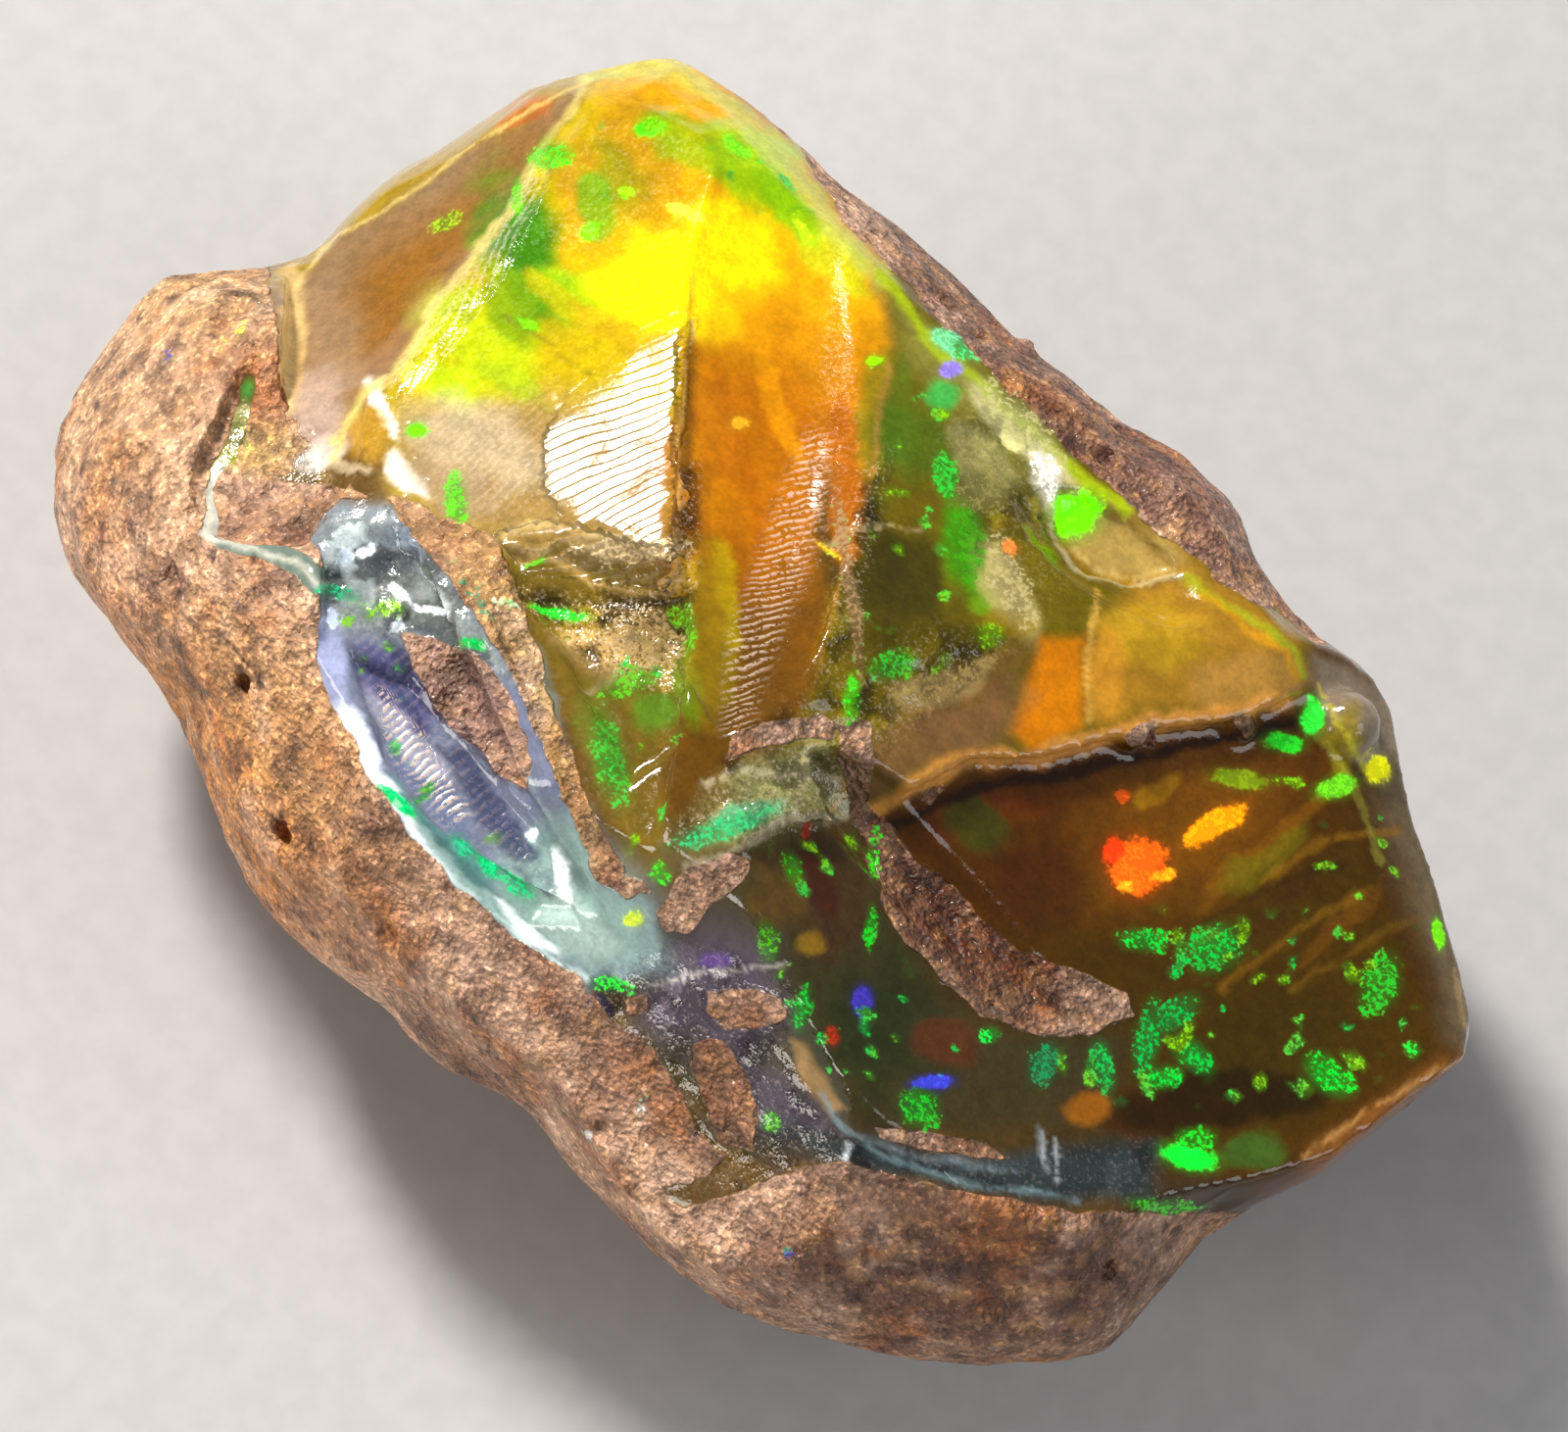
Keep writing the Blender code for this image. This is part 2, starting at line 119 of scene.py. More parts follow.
# Larger areas of colour on the opal: outline, colour, softness of its edge in mm, clearness, and painted
# glow, emission that stands for the opal's inner light
COLOUR_AREAS = {
    "left_face": (
        ((270, 290), (440, 110), (610, 40), (604, 84), (545, 160), (520, 214), (440, 316), (402, 388),
         (330, 480), (280, 440)),
        (164, 132, 92), 0.35, 0.35, 0.05,
    ),
    "left_face_amber": (
        ((372, 260), (470, 200), (560, 120), (540, 170), (508, 220), (440, 312), (404, 384), (372, 390),
         (360, 320)),
        (168, 112, 26), 1.1, 0.4, 0.07,
    ),
    "left_crest": (
        ((270, 290), (440, 110), (610, 40), (604, 82), (480, 150), (420, 196), (345, 240), (300, 292)),
        (172, 142, 34), 0.3, 0.25, 0.07,
    ),
    "main_face": (
        ((604, 84), (690, 40), (712, 330), (696, 480), (694, 580), (600, 566), (512, 545), (400, 515),
         (392, 400), (440, 316), (520, 214), (545, 160)),
        (206, 180, 0), 0.25, 0.22, 0.12,
    ),
    "main_face_foot": (
        ((400, 420), (560, 400), (690, 420), (700, 600), (600, 580), (505, 560), (440, 530), (400, 500)),
        (174, 142, 76), 1.0, 0.25, 0.04,
    ),
    "channel_top": (
        ((600, 60), (690, 40), (800, 130), (905, 272), (920, 380), (890, 480), (690, 560), (700, 330)),
        (238, 170, 0), 0.7, 0.22, 0.2,
    ),
    "channel_middle": (
        ((700, 350), (800, 340), (905, 370), (890, 470), (860, 600), (840, 690), (690, 640), (686, 500)),
        (196, 116, 0), 2.2, 0.3, 0.15,
    ),
    "channel_foot": (
        ((690, 580), (860, 600), (830, 700), (740, 870), (640, 900), (660, 760), (690, 640)),
        (122, 80, 6), 2.0, 0.45, 0.07,
    ),
    "right_face": (
        ((905, 272), (1340, 650), (1320, 725), (1010, 778), (870, 838), (740, 872), (832, 700), (852, 600),
         (890, 478), (908, 372)),
        (120, 106, 10), 0.3, 0.4, 0.1,
    ),
    "right_face_milk": (
        ((1080, 470), (1180, 540), (1330, 650), (1320, 712), (1180, 730), (1100, 745), (1106, 660),
         (1150, 600), (1090, 560)),
        (176, 130, 34), 0.5, 0.22, 0.06,
    ),
    "right_face_orange": (
        ((1030, 748), (1050, 690), (1062, 654), (1108, 650), (1106, 745), (1060, 770)),
        (226, 134, 0), 0.25, 0.3, 0.2,
    ),
    "right_face_upper": (
        ((905, 290), (1010, 385), (1090, 470), (1060, 520), (980, 420), (920, 380)),
        (150, 146, 60), 0.6, 0.3, 0.12,
    ),
    "right_face_foot": (
        ((880, 760), (960, 690), (1040, 660), (1030, 770), (930, 800), (880, 830)),
        (140, 104, 56), 0.7, 0.35, 0.06,
    ),
    "valley": (
        ((510, 556), (600, 570), (696, 590), (690, 700), (676, 800), (690, 890), (640, 890), (612, 800),
         (560, 700), (520, 610)),
        (136, 112, 34), 0.4, 0.35, 0.07,
    ),
    "ledge_facets": (
        ((690, 850), (716, 800), (760, 772), (840, 760), (866, 800), (872, 836), (800, 850), (740, 868),
         (700, 886)),
        (136, 134, 82), 0.5, 0.3, 0.06,
    ),
    "lower_block": (
        ((880, 836), (940, 806), (1010, 780), (1330, 718), (1350, 660), (1440, 700), (1540, 1060),
         (1300, 1290), (1160, 1250), (1000, 1110), (880, 960)),
        (108, 64, 4), 0.25, 0.55, 0.05,
    ),
    "lower_block_olive": (
        ((1080, 920), (1240, 880), (1420, 820), (1480, 980), (1490, 1080), (1300, 1200), (1100, 1240),
         (940, 1120), (1000, 1060)),
        (94, 66, 2), 2.2, 0.55, 0.06,
    ),
    "lower_block_amber": (
        ((1120, 790), (1260, 760), (1330, 790), (1300, 870), (1200, 940), (1110, 930), (1100, 850)),
        (146, 90, 8), 1.5, 0.5, 0.09,
    ),
    "lower_middle": (
        ((660, 930), (740, 880), (830, 838), (886, 850), (930, 960), (1010, 1040), (1150, 1060),
         (1130, 1160), (900, 1160), (760, 1180), (640, 1060)),
        (84, 76, 42), 0.8, 0.5, 0.03,
    ),
    "lower_middle_violet": (
        ((650, 980), (720, 940), (790, 960), (800, 1040), (780, 1080), (830, 1120), (860, 1170),
         (780, 1150), (700, 1060), (650, 1050)),
        (96, 86, 104), 0.8, 0.4, 0.03,
    ),
    "teal_band": (
        ((770, 1140), (860, 1160), (1000, 1176), (1180, 1160), (1190, 1230), (1060, 1226), (900, 1204),
         (830, 1180)),
        (56, 66, 68), 0.4, 0.25, 0.01,
    ),
    "bottom_strand": (
        ((1180, 1196), (1280, 1206), (1280, 1240), (1180, 1240)),
        (80, 66, 44), 0.5, 0.35, 0.01,
    ),
    "blade": (
        ((318, 548), (345, 512), (400, 515), (432, 560), (500, 640), (545, 720), (600, 856), (664, 930),
         (680, 990), (600, 1008), (556, 982), (480, 918), (404, 840), (352, 740), (318, 650)),
        (124, 132, 158), 0.2, 0.15, 0.06,
    ),
    "blade_upper": (
        ((318, 548), (345, 512), (400, 515), (432, 560), (500, 640), (540, 700), (430, 650), (330, 640)),
        (146, 158, 160), 0.5, 0.15, 0.06,
    ),
    "blade_tip": (
        ((520, 860), (590, 830), (660, 920), (680, 990), (600, 1008), (556, 982), (500, 920)),
        (150, 182, 176), 0.8, 0.18, 0.08,
    ),
    "end_facet": (
        ((1300, 1232), (1340, 1180), (1400, 1130), (1490, 1076), (1530, 1060), (1440, 1180), (1310, 1290),
         (1280, 1250)),
        (164, 104, 44), 0.5, 0.35, 0.05,
    ),
    "right_rim": (
        ((1345, 690), (1400, 790), (1420, 880), (1450, 960), (1484, 1060), (1540, 1060), (1500, 860),
         (1440, 700)),
        (128, 112, 84), 0.6, 0.35, 0.06,
    ),
    "grey_lump": (
        ((1338, 668), (1372, 676), (1412, 712), (1432, 750), (1412, 800), (1376, 770), (1346, 720)),
        (146, 130, 110), 0.3, 0.2, 0.04,
    ),
    "notch_milk": (
        ((232, 430), (294, 428), (345, 492), (262, 492), (228, 480)),
        (150, 128, 84), 0.4, 0.2, 0.0,
    ),
    "notch_green": (((242, 390), (258, 390), (256, 410), (242, 408)), (70, 170, 66), 0.25, 0.2, 0.12),
    "notch_pale": (((232, 412), (264, 414), (258, 450), (230, 456)), (180, 176, 106), 0.15, 0.2, 0.05),
    "notch_lime": (((224, 450), (250, 456), (234, 490), (212, 494)), (168, 178, 40), 0.12, 0.2, 0.1),
    "notch_white": (
        ((210, 486), (232, 486), (228, 556), (196, 556), (200, 516)),
        (184, 182, 170), 0.12, 0.1, 0.02,
    ),
    "notch_teal": (
        ((204, 548), (240, 546), (300, 550), (340, 584), (330, 616), (210, 570)),
        (122, 140, 130), 0.12, 0.2, 0.02,
    ),
    "tan_lens": (
        ((806, 1062), (822, 1064), (836, 1090), (862, 1130), (846, 1136), (816, 1100)),
        (176, 138, 84), 0.12, 0.05, 0.01,
    ),
}

# Soft sheets of fire within an area: middle, half length and width in pixels, turn, colour, strength and
# painted glow. Some sheets are painted highlights and painted sheen.
SHEETS = {
    "block_amber_left": ((1010, 830), (70, 26), 16, (120, 56, 10), 0.7, 0.06),
    "block_brown_deep": ((1060, 900), (60, 60), 0, (74, 34, 8), 0.7, 0.02),
    "block_streak_a": ((1296, 860), (110, 12), 42, (150, 96, 12), 0.6, 0.11),
    "block_streak_b": ((1330, 905), (100, 10), 40, (70, 46, 8), 0.7, 0.01),
    "block_streak_c": ((1372, 940), (80, 10), 44, (130, 80, 14), 0.5, 0.07),
    "block_olive_low": ((1300, 1060), (110, 60), 0, (56, 46, 2), 0.6, 0.03),
    "block_brown_low": ((1190, 1130), (110, 26), 4, (76, 40, 8), 0.8, 0.01),
    "right_olive_dark": ((930, 640), (60, 90), 20, (76, 66, 4), 0.7, 0.04),
    "right_green_wash": ((900, 430), (30, 90), -8, (84, 120, 20), 0.6, 0.08),
    "right_brown_grey": ((990, 730), (60, 36), 10, (136, 100, 60), 0.7, 0.05),
    "right_gold_foot": ((1000, 690), (60, 20), 30, (120, 88, 26), 0.5, 0.04),
    "face_amber_top": ((648, 150), (75, 50), -70, (180, 138, 4), 0.9, 0.08),
    "face_deep_green": ((538, 260), (84, 46), -68, (62, 128, 0), 1.0, 0.12),
    "face_green_tail": ((580, 300), (46, 30), -30, (120, 170, 0), 0.8, 0.16),
    "face_yellow": ((668, 292), (92, 52), -20, (255, 226, 0), 1.0, 0.3),
    "face_yellow_right": ((742, 240), (70, 40), -30, (250, 220, 0), 1.0, 0.27),
    "face_lime": ((492, 352), (72, 48), -35, (180, 196, 0), 1.0, 0.18),
    "face_lime_low": ((452, 396), (44, 26), -20, (180, 212, 0), 0.9, 0.19),
    "face_orange_spot": ((606, 252), (36, 26), 40, (230, 150, 0), 0.7, 0.15),
    "crown_lime": ((776, 176), (74, 36), -44, (140, 200, 0), 0.85, 0.2),
    "crown_lime_right": ((846, 262), (56, 24), -50, (196, 206, 20), 0.8, 0.19),
    "channel_lemon": ((738, 610), (60, 12), -84, (190, 170, 0), 0.6, 0.07),
    "channel_green_foot": ((696, 690), (60, 16), -80, (90, 150, 10), 0.6, 0.07),
    "right_green_high": ((962, 412), (28, 22), -20, (40, 190, 80), 0.8, 0.25),
    "right_green_left": ((930, 450), (40, 40), 0, (70, 110, 20), 0.7, 0.08),
    "right_dark": ((880, 570), (34, 90), 20, (58, 52, 8), 0.8, 0.0),
    "right_milk_yellow": ((1180, 650), (50, 36), 0, (196, 158, 24), 0.6, 0.12),
    "right_milk_orange": ((1134, 700), (24, 54), 0, (216, 150, 40), 0.7, 0.12),
    "right_milk_tan": ((1270, 690), (60, 34), 0, (186, 140, 66), 0.7, 0.06),
    "right_green_large": ((990, 566), (34, 62), 12, (70, 140, 4), 0.9, 0.22),
    "right_green_heart": ((984, 550), (16, 30), 12, (80, 150, 0), 0.8, 0.28),
    "right_green_edge": ((1000, 618), (20, 14), 30, (110, 160, 10), 0.7, 0.2),
    "right_dark_gap": ((930, 590), (30, 50), 10, (54, 50, 10), 0.7, 0.0),
    # Painted sheen on the right face
    "right_shine_a": ((1040, 446), (84, 20), -46, (212, 206, 146), 0.75, 0.26),
    "right_shine_b": ((1022, 600), (26, 60), 20, (196, 180, 104), 0.75, 0.2),
    "right_orange_low": ((1020, 640), (26, 20), 0, (150, 120, 10), 0.7, 0.11),
    "block_gold": ((1176, 808), (26, 12), 20, (180, 130, 10), 0.6, 0.22),
    "block_stripe_olive": ((1290, 880), (60, 16), 35, (110, 110, 10), 0.6, 0.08),
    "block_green_haze": ((1270, 1176), (36, 18), 0, (60, 120, 40), 0.7, 0.11),
    "block_orange_tan": ((1106, 1136), (26, 16), 10, (160, 96, 16), 0.9, 0.08),
    "block_green_dark": ((1000, 846), (40, 26), -20, (50, 78, 20), 0.7, 0.04),
    "block_low_dark": ((1260, 1120), (120, 30), 6, (36, 24, 2), 0.85, 0.0),
    # More painted sheen on the right face
    "right_shine_c": ((1062, 488), (16, 36), 16, (232, 226, 190), 0.8, 0.3),
    "right_shine_d": ((1000, 470), (50, 22), -50, (176, 172, 110), 0.6, 0.14),
    "right_shine_e": ((958, 700), (60, 18), 24, (176, 150, 96), 0.5, 0.08),
    "chip_cream": ((1150, 552), (66, 34), -24, (190, 164, 92), 0.75, 0.06),
    "channel_dark": ((724, 800), (30, 80), -14, (96, 66, 8), 0.6, 0.03),
    "lump_olive": ((1372, 760), (16, 44), -20, (150, 132, 10), 0.8, 0.08),
    "under_shelf_light": ((620, 664), (60, 26), -16, (184, 152, 96), 0.6, 0.1),
    "blade_head_light": ((420, 600), (60, 30), -40, (196, 206, 204), 0.5, 0.1),
    "blade_head_dark": ((400, 560), (40, 30), 20, (84, 96, 112), 0.7, 0.02),
    "blade_tip_light": ((590, 950), (50, 24), -40, (190, 214, 208), 0.6, 0.14),
    "face_L_light": ((330, 350), (40, 70), 10, (180, 146, 110), 0.5, 0.05),
    "face_olive_top": ((604, 176), (60, 34), -10, (130, 136, 4), 0.75, 0.12),
    "face_amber_high": ((590, 190), (26, 60), 16, (200, 140, 16), 0.6, 0.14),
    "face_green_fringe": ((514, 302), (60, 24), -60, (112, 150, 0), 0.8, 0.12),
    "middle_green_dark": ((900, 1040), (80, 76), 0, (36, 50, 22), 0.8, 0.02),
    "middle_brown_top": ((846, 916), (44, 66), 0, (76, 48, 26), 0.7, 0.02),
    "middle_gold_wash": ((790, 900), (30, 40), 0, (120, 86, 30), 0.5, 0.03),
    "middle_dark_red": ((836, 890), (16, 40), 8, (70, 32, 18), 0.8, 0.01),
    "middle_violet": ((732, 976), (13, 10), 0, (110, 70, 170), 0.7, 0.17),
    "middle_red_brown": ((962, 1066), (40, 26), -10, (98, 50, 26), 0.8, 0.03),
    "middle_blue_left": ((614, 1034), (18, 16), 0, (60, 60, 110), 0.8, 0.06),
    "middle_gold": ((824, 958), (16, 14), 0, (170, 130, 20), 0.6, 0.11),
    "valley_green": ((612, 746), (26, 60), 18, (116, 124, 40), 0.6, 0.08),
    "valley_green_top": ((660, 720), (26, 24), 0, (80, 150, 30), 0.7, 0.11),
    "blade_violet": ((404, 706), (60, 26), -52, (84, 82, 138), 0.8, 0.03),
    "blade_blue_edge": ((340, 676), (16, 50), 10, (176, 184, 226), 0.8, 0.2),
    "blade_right_strip": ((548, 700), (14, 90), 18, (118, 132, 126), 0.8, 0.02),
    # Painted highlights along the blade's lower left edge
    "blade_edge_highlight": ((424, 842), (98, 11), -50, (240, 246, 250), 1.0, 0.5),
    "blade_edge_highlight_low": ((524, 936), (68, 10), -38, (236, 248, 248), 1.0, 0.5),
    "blade_edge_highlight_high": ((367, 753), (48, 11), -62, (220, 228, 246), 0.9, 0.4),
    "blade_inner_pale": ((440, 800), (70, 16), -52, (110, 124, 166), 0.6, 0.05),
    "blade_dark": ((500, 820), (84, 14), -56, (56, 62, 98), 0.85, 0.0),
    "blade_dark_high": ((430, 694), (64, 13), -50, (54, 54, 96), 0.85, 0.0),
    "blade_teal_wash": ((462, 872), (100, 14), -52, (70, 140, 128), 0.7, 0.05),
    # Painted sheen on the blade
    "blade_sheen": ((412, 746), (72, 13), -52, (196, 198, 220), 0.6, 0.12),
    # A painted highlight on the blade
    "blade_highlight_spot": ((570, 896), (9, 34), 14, (244, 252, 250), 1.0, 0.5),
    "ledge_teal": ((760, 830), (40, 14), 16, (60, 150, 110), 0.7, 0.14),
    # Painted highlights on the left face, its ridge and the main face's lower left
    "left_highlight": ((322, 462), (28, 18), 40, (236, 228, 214), 0.9, 0.25),
    "left_highlight_low": ((352, 478), (30, 7), 0, (220, 200, 160), 0.7, 0.1),
    "rim_highlight": ((392, 420), (34, 8), -68, (255, 250, 240), 1.0, 0.5),
    "face_highlight_left": ((418, 484), (36, 13), -50, (250, 244, 230), 0.9, 0.27),
    # Pale brushed opal with a painted sheen on the lower main face
    "face_silver_sheen": ((490, 452), (84, 42), -20, (196, 178, 142), 0.75, 0.08),
    "face_silver_sheen_low": ((470, 500), (50, 26), -30, (170, 146, 112), 0.7, 0.05),
    "channel_streak_a": ((760, 480), (120, 9), -76, (176, 96, 0), 0.6, 0.07),
    "channel_streak_b": ((790, 400), (90, 12), -70, (236, 160, 0), 0.5, 0.17),
    "channel_streak_c": ((720, 560), (110, 10), -86, (150, 92, 6), 0.6, 0.04),
    "channel_right_orange": ((862, 480), (16, 90), 6, (176, 96, 0), 0.85, 0.08),
    "channel_brown": ((730, 440), (26, 60), 10, (190, 110, 10), 0.6, 0.08),
    "channel_olive": ((716, 640), (30, 90), 8, (150, 130, 10), 0.6, 0.05),
    "face_gold_a": ((572, 306), (56, 14), -40, (220, 180, 0), 0.4, 0.1),
    "face_gold_b": ((640, 340), (70, 18), -30, (200, 160, 10), 0.6, 0.08),
    "face_green_soft_a": ((600, 290), (40, 18), -20, (150, 200, 0), 0.6, 0.17),
    "face_green_soft_b": ((520, 390), (50, 16), -30, (160, 190, 20), 0.6, 0.1),
    "crown_green_a": ((796, 204), (50, 20), -50, (120, 180, 0), 0.75, 0.2),
    "crown_green_b": ((706, 146), (56, 22), -30, (120, 170, 0), 0.75, 0.16),
    "crown_green_c": ((610, 210), (22, 36), 10, (70, 160, 10), 0.7, 0.17),
    "left_milk": ((318, 424), (40, 40), 0, (196, 170, 154), 0.8, 0.14),
    "left_amber_foot": ((372, 440), (28, 36), 0, (196, 150, 40), 0.8, 0.22),
    "left_red_streak": ((540, 112), (40, 10), 28, (190, 90, 40), 0.6, 0.11),
}
